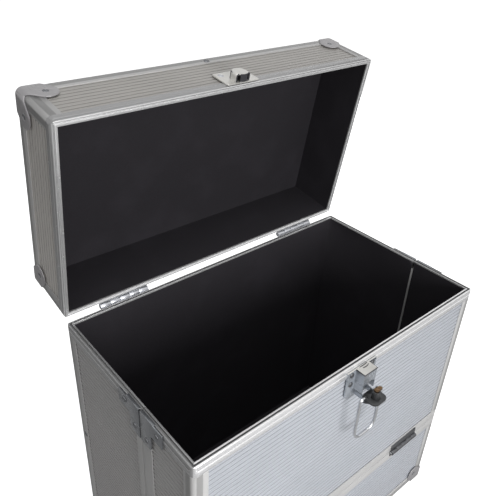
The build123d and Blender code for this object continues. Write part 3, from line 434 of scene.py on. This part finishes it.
def finishes(context):
    """Every finish of the case, made once."""
    if MADE:
        return MADE
    tint = context.scene.case_finishes
    sheet = tuple(tint.sheet)
    lid_sheet = tuple(tint.lid_sheet)
    # painted shade: the sheet on the case's sides is a darker, warmer copy of the front sheet
    shaded_side_tint = (0.74 * sheet[0], 0.69 * sheet[1], 0.635 * sheet[2])
    profile = tuple(tint.profile)
    side_face = ("X", HALF_WIDTH - SKIN)
    long_face = ("Y", HALF_DEPTH - SKIN)
    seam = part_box("split_edge_profiles")[0][2]
    side_ends = [(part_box("rear_corner_posts")[0][1], 0.0), (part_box("flap_front_posts")[1][1], 0.0),
                 *[(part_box("split_edge_profiles")[row][1], seam) for row in (0, 1)],
                 (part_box("wing_edge_profiles")[0][1], seam)]
    front_ends = [(side * (HALF_WIDTH - FRONT_LEG), 0.0) for side in (-1, 1)]
    lid_ends = [(CENTRE["Y"] + side * (HALF_DEPTH - FRONT_LEG), 0.0) for side in (-1, 1)]
    MADE["side_sheet"] = silver_sheet("case_side_sheet", shaded_side_tint, side_face, "Y", side_ends)
    MADE["long_sheet"] = silver_sheet("case_long_sheet", sheet, long_face, "X", front_ends)
    # painted light and shade: the lid's side sheet is a lighter copy of the lid sheet, its front and back sheet a
    # darker one
    MADE["lid_side_sheet"] = silver_sheet("case_lid_side_sheet", shade(lid_sheet, 1.1), side_face, "Y", lid_ends, True)
    MADE["lid_long_sheet"] = silver_sheet("case_lid_long_sheet", shade(lid_sheet, 0.76), long_face, "X",
                                          front_ends, True)
    MADE["lid_top_sheet"] = silver_sheet("case_lid_top_sheet", lid_sheet, ("Z", LID_TOP - SKIN - CENTRE["Z"]), "X",
                                         front_ends, True)
    MADE["floor_board"] = satin_profile("case_floor_board", shade(sheet, 0.8), (1, 0.02, 1), 0.1)
    upright = (1, 1, 0.02)
    level = (0.02, 0.02, 1)
    MADE["post"] = satin_profile("case_post", profile, upright, band=POST_BAND)
    MADE["profile_upright"] = satin_profile("case_profile_upright", profile, upright)
    MADE["profile_level"] = satin_profile("case_profile_level", profile, level)
    MADE["bottom_frame"] = satin_profile("case_bottom_frame", profile, level, band=BOTTOM_BAND)
    # painted shade: the lid's edge frame and corner posts are darker copies of the profile finish
    MADE["lid_frame"] = satin_profile("case_lid_frame", shade(profile, 0.84), level, lid=True, band=LID_BAND)
    MADE["lid_post"] = satin_profile("case_lid_post", shade(profile, 0.7), upright, lid=True, band=POST_BAND)
    MADE["rim"] = bright_rim("case_rim", tuple(tint.rim))
    MADE["lid_rim"] = bright_rim("case_lid_rim", tuple(tint.rim), True)
    steels = (                           # key, colour, its shade, roughness, metallic
        ("plated_steel", tint.steel, 1.0, 0.2, 0.85), ("bracket_steel", tint.bracket, 1.0, 0.2, 0.6),
        ("latch_steel", tint.latch, 1.0, 0.22, 0.55), ("keeper_steel", tint.keeper, 1.0, 0.26, 0.4),
        ("hinge_steel", tint.steel, 0.25, 0.3, 0.8), ("cap_steel", tint.cap, 1.0, 0.36, 0.35),
        ("rivet_steel", tint.steel, 0.3, 0.24, 0.8), ("drift_steel", tint.steel, 0.9, 0.3, 0.5),
        ("chrome_plate", tint.chrome, 1.0, 0.08, 1.0),
    )
    for key, base, factor, roughness, metallic in steels:
        MADE[key] = plated_steel("case_" + key, shade(base, factor), roughness, metallic)
    MADE["dark_chrome"] = smoked_chrome("case_dark_chrome", shade(tint.chrome, 0.1))
    MADE["lining"] = dark_lining("case_lining", tuple(tint.lining))
    MADE["cam_brass"] = brass_metal("case_cam_brass", tuple(tint.brass))
    # near-black for painted shade
    MADE["oxide"] = soft_black("case_oxide", tuple(tint.oxide), 0.85)
    MADE["foot_rubber"] = soft_black("case_foot_rubber", tuple(tint.rubber), 0.6)
    MADE["grip_plastic"] = soft_black("case_grip_plastic", tuple(tint.grip), 0.42)
    return MADE


# --- Mesh helpers ----------------------------------------------------------------------------------------------

def placed(name, data):
    """A new object in the scene."""
    item = bpy.data.objects.new(name, data)
    bpy.context.scene.collection.objects.link(item)
    return item


def settled(source, name):
    """The mesh that an object's modifiers or curve settings leave. The object itself goes."""
    depsgraph = bpy.context.evaluated_depsgraph_get()
    final = bpy.data.meshes.new_from_object(source.evaluated_get(depsgraph))
    bpy.data.objects.remove(source)
    final.name = name
    return final


def cover(mesh, material):
    """Gives a whole mesh one material."""
    mesh.materials.clear()
    mesh.materials.append(material)


def add_piece(name, mesh, body, material, slot, *nodes):
    """A finished piece: shown with one finish, moving with a body, in place of its nodes."""
    piece = placed(name, mesh)
    if material is not None:
        cover(mesh, material)
    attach(piece, body)
    if nodes:
        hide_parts(*nodes)
    return piece


def solid_copy(node):
    """The node's solid as a merged mesh with flat faces joined."""
    work = bmesh.new()
    work.from_mesh(frame["nodes"][node].data)
    bmesh.ops.remove_doubles(work, verts=work.verts, dist=0.002 * MM)
    bmesh.ops.dissolve_limit(work, angle_limit=radians(0.5), verts=work.verts, edges=work.edges)
    return work


def eased(name, node, body, material, slot, width, segments=2, angle=32):
    """The node's own shape with its hard edges eased, in place of the node."""
    work = solid_copy(node)
    mesh = bpy.data.meshes.new(name)
    for face in work.faces:
        face.smooth = True
    work.to_mesh(mesh)
    work.free()
    source = placed(name + "_source", mesh)
    bevel = source.modifiers.new("ease", "BEVEL")
    bevel.width = width
    bevel.segments = segments
    bevel.limit_method = "ANGLE"
    bevel.angle_limit = radians(angle)
    bevel.harden_normals = True
    bevel.use_clamp_overlap = True
    return add_piece(name, settled(source, name), body, material, slot, node)


def stroke(name, lines, radius, body, material, slot):
    """Round-ended marks along some lines, half sunk in the face they lie on."""
    curve = bpy.data.curves.new(name, "CURVE")
    curve.dimensions = "3D"
    curve.bevel_depth = radius
    curve.bevel_resolution = 2
    curve.use_fill_caps = True
    for line in lines:
        spline = curve.splines.new("POLY")
        spline.points.add(len(line) - 1)
        for point, place in zip(spline.points, line):
            point.co = (*place, 1)
    return add_piece(name, settled(placed(name + "_source", curve), name), body, material, slot)


def solid_boxes(node, closed=False):
    """The box of every separate solid of a node, in the closed lid's place where closed is set."""
    work = bmesh.new()
    work.from_mesh(frame["nodes"][node].data)
    bmesh.ops.remove_doubles(work, verts=work.verts, dist=0.002 * MM)
    found = []
    left = set(work.verts)
    while left:
        stack = [left.pop()]
        island = []
        while stack:
            vertex = stack.pop()
            island.append(CLOSE_LID @ vertex.co if closed else vertex.co.copy())
            for edge in vertex.link_edges:
                other = edge.other_vert(vertex)
                if other in left:
                    left.remove(other)
                    stack.append(other)
        low = Vector([min(v[axis] for v in island) for axis in range(3)])
        high = Vector([max(v[axis] for v in island) for axis in range(3)])
        found.append((low, high))
    work.free()
    return sorted(found, key=lambda pair: tuple(round(value, 5) for value in pair[0]))


# --- Rivets, as a field of instances on points -----------------------------------------------------------------

HEAD_SOCKETS = (
    ("Points", "NodeSocketGeometry"), ("Head radius", "NodeSocketFloat"), ("Head height", "NodeSocketFloat"),
    ("Segments", "NodeSocketInt"), ("Seed", "NodeSocketInt"),
    ("Finish", "NodeSocketMaterial"), ("Hollow", "NodeSocketMaterial"),
)


class Field(Nodes):
    """A Geometry Nodes group that sets one head on every point, turned to the point's stored direction."""

    def __init__(self, name):
        super().__init__(bpy.data.node_groups.new(name, "GeometryNodeTree"))
        for label, kind in HEAD_SOCKETS:
            self.tree.interface.new_socket(label, in_out="INPUT", socket_type=kind)
        self.tree.interface.new_socket("Field", in_out="OUTPUT", socket_type="NodeSocketGeometry")
        self.given = self.node("NodeGroupInput").outputs
        self.radius = Number(self, self.given["Head radius"])
        self.height = Number(self, self.given["Head height"])

    def shape(self, kind, settings=None, inputs=None, output=0):
        return self.node(kind, settings, inputs).outputs[output]

    def vector(self, x, y, z):
        return self.shape("ShaderNodeCombineXYZ", {}, {0: x, 1: y, 2: z})

    def moved(self, shape, inputs):
        return self.shape("GeometryNodeTransform", {}, {"Geometry": shape, **inputs})

    def dome(self, radius, height):
        """A flattened ball about the seat."""
        inputs = {"Segments": self.given["Segments"], "Rings": 14, "Radius": 1.0}
        return self.moved(self.shape("GeometryNodeMeshUVSphere", {}, inputs),
                          {"Scale": self.vector(radius, radius, height)})

    def disc(self, radius, height, depth):
        """A short cylinder whose top is at a height above the seat."""
        inputs = {"Vertices": self.given["Segments"], "Radius": radius, "Depth": depth}
        return self.moved(self.shape("GeometryNodeMeshCylinder", {}, inputs),
                          {"Translation": self.vector(0, 0, height - depth / 2)})

    def cut(self, first, second):
        inputs = {"Mesh 1": first, "Mesh 2": second}
        return self.shape("GeometryNodeMeshBoolean", {"operation": "DIFFERENCE"}, inputs)

    def painted(self, shape, material):
        smooth = self.shape("GeometryNodeSetShadeSmooth", {}, {"Geometry": shape})
        return self.shape("GeometryNodeSetMaterial", {}, {"Geometry": smooth, "Material": self.given[material]})

    def scatter(self, *pieces):
        """Joins the pieces to one head, puts it on every point and ends the group."""
        head = self.shape("GeometryNodeJoinGeometry", {}, {0: list(pieces)})
        points = self.shape("GeometryNodeMeshToPoints", {}, {"Mesh": self.given["Points"]})
        facing = self.shape("GeometryNodeInputNamedAttribute", {"data_type": "FLOAT_VECTOR"}, {"Name": "facing"})
        turn = self.shape("FunctionNodeAlignRotationToVector", {"axis": "Z"}, {"Vector": facing})
        limits = {2: 0.0, 3: pi, "Seed": self.given["Seed"]}
        spin = self.shape("FunctionNodeRandomValue", {"data_type": "FLOAT"}, limits, 1)
        local = self.shape("FunctionNodeAxisAngleToRotation", {}, {"Axis": (0, 0, 1), "Angle": spin})
        both = self.shape("FunctionNodeRotateRotation", {"rotation_space": "LOCAL"}, {0: turn, 1: local})
        inputs = {"Points": points, "Instance": head, "Rotation": both}
        heads = self.shape("GeometryNodeInstanceOnPoints", {}, inputs)
        real = self.shape("GeometryNodeRealizeInstances", {}, {0: heads})
        self.node("NodeGroupOutput", {}, {0: real})
        return self.tree


def domed_rivets():
    """Plain domed heads."""
    field = Field("domed_rivets")
    return field.scatter(field.painted(field.dome(field.radius, field.height), "Finish"))


def hollow_rivets():
    """Tubular rivets: a rolled collar, dark as painted shade, round a paler hollow with a small drift mark in its
    middle.
    """
    field = Field("hollow_rivets")
    radius, height = field.radius, field.height
    # painted shade: the collar takes the dark Finish
    collar = field.cut(field.dome(radius, height), field.disc(radius * 0.56, height * 1.5, 3 * MM))
    floor = field.disc(radius * 0.58, height * 0.3, 0.2 * MM)
    drift = field.dome(radius * 0.24, height * 0.62)
    return field.scatter(field.painted(collar, "Finish"), field.painted(floor, "Hollow"),
                         field.painted(drift, "Finish"))


def slotted_screws():
    """Domed screw heads with a straight driver slot, its floor darker as painted shade."""
    field = Field("slotted_screws")
    radius, height = field.radius, field.height
    bar = field.shape("GeometryNodeMeshCube", {}, {"Size": field.vector(radius * 2.4, radius * 0.34, height)})
    slot = field.moved(bar, {"Translation": field.vector(0, 0, height)})
    head = field.cut(field.dome(radius, height), slot)
    # painted shade: the slot's floor takes the darker Finish
    floor = field.disc(radius * 0.75, height * 0.53, 0.2 * MM)
    return field.scatter(field.painted(head, "Hollow"), field.painted(floor, "Finish"))


def field_of(tree, name, mesh, values):
    """The tree's result on a mesh, as a plain mesh."""
    source = placed(name + "_points", mesh)
    modifier = source.modifiers.new("field", "NODES")
    modifier.node_group = tree
    for item in tree.interface.items_tree:
        if item.in_out == "INPUT" and item.name in values:
            modifier[item.identifier] = values[item.name]
    return settled(source, name)


def head_piece(name, node, body, build, size, closed=False):
    """Rivet or screw heads in place of a node's solids, each standing out as far as its solid does."""
    radius, height = size
    places = []
    boxes = solid_boxes(node, closed)
    middle = sum((low + high for low, high in boxes), Vector()) / 2 / len(boxes)
    for low, high in boxes:
        spans = high - low
        axis = min(range(3), key=lambda index: spans[index])
        direction = Vector((0, 0, 0))
        seat = (low + high) / 2
        sign = 1 if seat[axis] > middle[axis] else -1
        direction[axis] = sign
        seat[axis] = (high if sign > 0 else low)[axis] - sign * height
        if closed:
            seat = OPEN_LID @ seat
            direction = OPEN_LID.to_3x3() @ direction
        places.append((seat, direction))
    mesh = bpy.data.meshes.new(name + "_points")
    mesh.from_pydata([seat for seat, direction in places], [], [])
    facing = mesh.attributes.new("facing", "FLOAT_VECTOR", "POINT")
    facing.data.foreach_set("vector", [value for seat, direction in places for value in direction])
    tree = bpy.data.node_groups.get(build.__name__) or build()
    sizes = bpy.context.scene.case_sizes
    values = {"Head radius": radius, "Head height": height, "Finish": MADE["rivet_steel"],
              "Hollow": MADE["drift_steel"], "Segments": sizes.rivet_segments, "Seed": sizes.seed}
    mesh = field_of(tree, name, mesh, values)
    return add_piece(name, mesh, body, None, "plated_steel", node)


# --- Linings, as cloth glued to the walls ----------------------------------------------------------------------

def cloth_lining(name, node, body, slot, cell, wave):
    """The node's lining cut into a fine mesh that lifts and dips a little, as glued cloth does."""
    work = solid_copy(node)
    for _ in range(9):
        long = [edge for edge in work.edges if edge.calc_length() > cell]
        if not long:
            break
        bmesh.ops.subdivide_edges(work, edges=long, cuts=1, use_grid_fill=True)
    bmesh.ops.triangulate(work, faces=[face for face in work.faces if len(face.verts) > 4])
    work.normal_update()
    seed = bpy.context.scene.case_sizes.seed
    for vertex in work.verts:
        place = vertex.co * 22 + Vector((seed, 2 * seed, 3 * seed))
        lift = noise.fractal(place, 1.0, 2.0, 3)
        vertex.co -= vertex.normal * wave * min(1.0, max(0.0, 0.5 + lift))
    for face in work.faces:
        face.smooth = True
    mesh = bpy.data.meshes.new(name)
    work.to_mesh(mesh)
    work.free()
    mesh.set_sharp_from_angle(angle=radians(40))
    return add_piece(name, mesh, body, MADE["lining"], slot, node)


# --- Operators -------------------------------------------------------------------------------------------------

class PaintWalls(bpy.types.Operator):
    """Give the ribbed panels their silver sheet"""
    bl_idname = "record_case.walls"
    bl_label = "Ribbed walls"

    def execute(self, context):
        made = finishes(context)
        for name, node in frame["nodes"].items():
            if not name.endswith("_panel"):
                continue
            turned = "lid_" if name.startswith("lid_") else ""
            sheet = "side_sheet" if "left" in name or "right" in name else "long_sheet"
            sheet = {"lid_top_panel": "lid_top_sheet", "floor_panel": "floor_board"}.get(name, turned + sheet)
            cover(node.data, made[sheet])
        return {"FINISHED"}


class EaseProfiles(bpy.types.Operator):
    """Aluminium extrusions with eased edges"""
    bl_idname = "record_case.profiles"
    bl_label = "Profiles"

    def execute(self, context):
        made = finishes(context)
        width = context.scene.case_sizes.edge
        level = made["profile_level"]
        upright = made["profile_upright"]
        table = (
            ("bottom_edge_frame", "case", made["bottom_frame"]), ("rear_corner_posts", "case", made["post"]),
            ("lower_front_posts", "case", made["post"]), ("body_rim", "case", made["rim"]),
            ("lower_front_top_rail", "case", level), ("split_edge_profiles", "case", upright),
            ("flap_rim", "drop_front", made["rim"]), ("flap_bottom_rail", "drop_front", level),
            ("flap_front_posts", "drop_front", made["post"]), ("wing_edge_profiles", "drop_front", upright),
            ("lid_edge_frame", "lid", made["lid_frame"]), ("lid_corner_posts", "lid", made["lid_post"]),
            ("lid_rim", "lid", made["lid_rim"]),
        )
        for node, body, material in table:
            eased("finished_" + node, node, body, material, "profile", width)
        return {"FINISHED"}


class EasePressings(bpy.types.Operator):
    """Pressed caps, brackets and hinge leaves"""
    bl_idname = "record_case.pressings"
    bl_label = "Caps, brackets and hinges"

    def execute(self, context):
        made = finishes(context)
        width = context.scene.case_sizes.edge
        table = (
            ("bottom_corner_caps", "case", CAP_EDGE), ("body_split_brackets", "case", width),
            ("lid_hinge_body_leaves", "case", width), ("front_hinge_body_leaves", "case", width),
            ("flap_split_brackets", "drop_front", width), ("front_hinge_flap_leaves", "drop_front", width),
            ("lid_corner_caps", "lid", CAP_EDGE), ("lid_hinge_lid_leaves", "lid", width),
            ("handle_brackets", "lid", width),
        )
        keys = (("caps", "cap_steel"), ("split_brackets", "bracket_steel"), ("front_hinge", "hinge_steel"),
                ("", "plated_steel"))
        for node, body, easing in table:
            key = next(key for part, key in keys if part in node)
            eased("finished_" + node, node, body, made[key], "plated_steel", easing)
        for node in ("lid_hinge_pins", "front_hinge_pins", "foot_screws"):
            cover(frame["nodes"][node].data, made["plated_steel"])
        self.part_leaves()
        return {"FINISHED"}

    def part_leaves(self):
        """Leaves a hair between the lid hinge leaves where they meet in line with the lid shut."""
        for vertex in bpy.data.objects["finished_lid_hinge_lid_leaves"].data.vertices:
            place = CLOSE_LID @ vertex.co
            if abs(place.z - LID_HINGE.z) < 0.03 * MM and place.y < LID_HINGE.y - 1.5 * MM:
                place.z = LID_HINGE.z + LEAF_GAP
                vertex.co = OPEN_LID @ place


class SetRivets(bpy.types.Operator):
    """Tubular rivets of the caps, domed rivets of the brackets and slotted screws"""
    bl_idname = "record_case.rivets"
    bl_label = "Rivets and screws"

    def execute(self, context):
        finishes(context)
        head_piece("finished_body_rivets", "body_rivets", "case", hollow_rivets, HOLLOW_RIVET)
        head_piece("finished_flap_bracket_rivets", "flap_bracket_rivets", "drop_front", domed_rivets, DOMED_RIVET)
        head_piece("finished_lid_rivets", "lid_rivets", "lid", hollow_rivets, HOLLOW_RIVET, True)
        head_piece("finished_handle_rivets", "handle_rivets", "lid", domed_rivets, DOMED_RIVET, True)
        head_piece("finished_keeper_screws", "keeper_screws", "lid", slotted_screws, KEEPER_SCREW, True)
        return {"FINISHED"}


class BuildLatch(bpy.types.Operator):
    """Draw latch: base, lever, lock, bail and keeper"""
    bl_idname = "record_case.latch"
    bl_label = "Latch"

    def execute(self, context):
        made = finishes(context)
        width = context.scene.case_sizes.edge
        table = (
            ("latch_base", "drop_front", "latch_steel", "plated_steel"),
            ("latch_rivets", "drop_front", "hinge_steel", "plated_steel"),
            ("latch_keeper", "lid", "keeper_steel", "plated_steel"),
            ("latch_lever", "lever", "dark_chrome", "chrome_plate"),
            ("lock_housing", "lever", "dark_chrome", "chrome_plate"),
        )
        for node, body, material, slot in table:
            eased("finished_" + node, node, body, made[material], slot, width)
        self.blacken_hood(made["oxide"])
        self.plate_lock_box(made["keeper_steel"])
        self.cut_slots(made["oxide"])
        plain = {"lock_plug": "dark_chrome", "lock_cam": "cam_brass", "lever_pin": "chrome_plate",
                 "latch_bail": "chrome_plate"}
        for node, material in plain.items():
            cover(frame["nodes"][node].data, made[material])
        return {"FINISHED"}

    def plate_lock_box(self, steel):
        """The lock box's top, painted light: its upward faces take the paler keeper steel, lighter than its sides."""
        mesh = bpy.data.objects["finished_latch_base"].data
        mesh.materials.append(steel)
        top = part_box("latch_base")[1][2]
        for face in mesh.polygons:
            level = face.normal.z > 0.9
            if level and face.center.z > top - 0.1 * MM:
                face.material_index = 1

    def cut_slots(self, oxide):
        """Near-black strokes as painted shade: the lock box's spring slots and a painted shadow under its top plate."""
        low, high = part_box("latch_base")
        middle = (low[0] + high[0]) / 2
        corner = Vector((middle, high[1], high[2]))
        lines = [[corner + MM * Vector((across, -out, up)) for across, out, up in line] for line in LOCK_BOX_SHADE_LINES]
        for points in lines[:2]:
            for point in points:
                point.z -= SLOT_SINK
        stroke("latch_slots", lines, SLOT_RADIUS, "drop_front", oxide, "plated_steel")

    def blacken_hood(self, oxide):
        """The inside of the keeper's hood, painted near-black as shade."""
        low, high = solid_boxes("latch_keeper", True)[0]
        middle = (low.x + high.x) / 2
        mesh = bpy.data.objects["finished_latch_keeper"].data
        mesh.materials.append(oxide)
        for face in mesh.polygons:
            place = CLOSE_LID @ face.center
            behind_front = place.y > low.y + HOOD_FRONT
            before_plate = place.y < high.y - HOOD_PLATE
            within = abs(place.x - middle) < HOOD_HALF_WIDTH and place.z < low.z + HOOD_HEIGHT
            if within and behind_front and before_plate:
                face.material_index = 1


class LayLinings(bpy.types.Operator):
    """Dark linings glued inside the case"""
    bl_idname = "record_case.linings"
    bl_label = "Linings"

    def execute(self, context):
        finishes(context)
        sizes = context.scene.case_sizes
        table = (("body_lining", "case"), ("flap_lining", "drop_front"), ("lid_lining", "lid"))
        for node, body in table:
            cloth_lining("cloth_" + node, node, body, "lining", sizes.lining_cell, sizes.lining_wave)
        pad = cloth_lining("soft_floor_pad", "floor_pad", "case", "lining", sizes.lining_cell, 2 * sizes.lining_wave)
        return {"FINISHED"}


class FitFeetAndHandle(bpy.types.Operator):
    """Rubber feet and the folding carrying handle"""
    bl_idname = "record_case.feet_and_handle"
    bl_label = "Feet and handle"

    def execute(self, context):
        made = finishes(context)
        eased("finished_feet", "feet", "case", made["foot_rubber"], "foot_rubber", FOOT_EDGE, 3)
        eased("finished_handle_grip", "handle_grip", "handle", made["grip_plastic"], "grip_plastic", GRIP_EDGE, 3)
        cover(frame["nodes"]["handle_bow"].data, made["chrome_plate"])
        return {"FINISHED"}


def area_light(name, place, target, size, power, mirrored):
    """A lamp that faces a target and shows in reflections where mirrored is set."""
    light = bpy.data.lights.new(name, "AREA")
    light.shape = "RECTANGLE"
    light.size, light.size_y = size
    light.energy = power
    lamp = placed(name, light)
    lamp.location = place
    lamp.rotation_euler = (Vector(target) - Vector(place)).to_track_quat("-Z", "Y").to_euler()
    lamp.visible_glossy = mirrored


class SetStage(bpy.types.Operator):
    """Pale floor, soft light, plain world and the camera"""
    bl_idname = "record_case.stage"
    bl_label = "Stage"

    def execute(self, context):
        stage = context.scene.case_stage
        self.set_floor(tuple(stage.floor))
        self.set_world(context.scene, stage.ambient)
        for name, place, target, size, power, mirrored in LIGHTS:
            area_light(name, place, target, size, getattr(stage, power), mirrored)
        self.set_camera(context.scene, stage)
        context.scene.view_settings.view_transform = "Standard"
        return {"FINISHED"}

    def set_floor(self, tint):
        half = 6.0
        mesh = bpy.data.meshes.new("studio_floor")
        mesh.from_pydata([(-half, -half, 0), (half, -half, 0), (half, half, 0), (-half, half, 0)], [], [(0, 1, 2, 3)])
        floor = placed("studio_floor", mesh)
        paint = Paint("studio_floor")
        tone = paint.mixed(paint.noise(scale=0.6, detail=2), shade(tint, 0.99), shade(tint, 1.01))
        diffuse = paint.node("ShaderNodeBsdfDiffuse", {}, {"Color": tone})
        seen = paint.number("ShaderNodeLightPath", {}, {}, "Is Camera Ray")
        glow = paint.node("ShaderNodeEmission", {}, {"Color": (1, 1, 1, 1), "Strength": seen})
        added = paint.node("ShaderNodeAddShader", {}, {0: diffuse.outputs[0], 1: glow.outputs[0]})
        paint.tree.links.new(added.outputs[0], paint.output.inputs["Surface"])
        cover(mesh, paint.material)

    def set_world(self, scene, ambient):
        world = bpy.data.worlds.new("studio_world")
        world.use_nodes = True
        nodes = Nodes(world.node_tree)
        path = nodes.node("ShaderNodeLightPath").outputs
        seen = nodes.maths("MAXIMUM", path["Is Camera Ray"], path["Is Transmission Ray"])
        shown = nodes.maths("MAXIMUM", seen, path["Is Glossy Ray"])
        strength = ambient + (1.0 - ambient) * shown
        background = nodes.node("ShaderNodeBackground", {}, {"Color": (1, 1, 1, 1), "Strength": strength})
        nodes.node("ShaderNodeOutputWorld", {}, {"Surface": background.outputs[0]})
        scene.world = world

    def set_camera(self, scene, stage):
        image_width, image_height = 480, 496
        focal_pixels = 574.4
        centre_x, centre_y = 237.8, 233.5
        camera = bpy.data.cameras.new("camera")
        camera.sensor_fit = "VERTICAL"
        camera.sensor_height = 36
        camera.lens = 36 * focal_pixels / image_height
        camera.shift_x = (image_width / 2 - centre_x) / image_height
        camera.shift_y = (centre_y - image_height / 2) / image_height
        camera.clip_start = 0.01
        forward = Vector((-sin(stage.turn) * cos(stage.tilt), cos(stage.turn) * cos(stage.tilt), -sin(stage.tilt)))
        right = Vector((cos(stage.turn), sin(stage.turn), 0))
        up = right.cross(forward)
        rolled_right = cos(stage.roll) * right + sin(stage.roll) * up
        rolled_up = cos(stage.roll) * up - sin(stage.roll) * right
        turn = Matrix((rolled_right, rolled_up, -forward)).transposed()
        eye = placed("camera", camera)
        eye.matrix_world = Matrix.Translation(stage.camera_place) @ turn.to_4x4()
        scene.camera = eye


class RecordCasePanel(bpy.types.Panel):
    """Sizes, finishes and steps of the record case"""
    bl_idname = "VIEW3D_PT_record_case"
    bl_label = "Record case"
    bl_space_type = "VIEW_3D"
    bl_region_type = "UI"
    bl_category = "Record case"

    def draw(self, context):
        for group in (context.scene.case_finishes, context.scene.case_sizes, context.scene.case_stage):
            for name in group.__annotations__:
                self.layout.prop(group, name)
        for step in STEPS:
            self.layout.operator(step.bl_idname)


STEPS = (PaintWalls, EaseProfiles, EasePressings, SetRivets, BuildLatch, LayLinings, FitFeetAndHandle, SetStage)
CLASSES = (CaseFinishes, CaseSizes, StageSettings, *STEPS, RecordCasePanel)


def register():
    for group in CLASSES:
        bpy.utils.register_class(group)
    bpy.types.Scene.case_finishes = PointerProperty(type=CaseFinishes)
    bpy.types.Scene.case_sizes = PointerProperty(type=CaseSizes)
    bpy.types.Scene.case_stage = PointerProperty(type=StageSettings)


def unregister():
    for name in ("case_finishes", "case_sizes", "case_stage"):
        delattr(bpy.types.Scene, name)
    for group in reversed(CLASSES):
        bpy.utils.unregister_class(group)


def main():
    register()
    for step in STEPS:
        area, name = step.bl_idname.split(".")
        getattr(getattr(bpy.ops, area), name)()


if __name__ == "__main__":
    main()
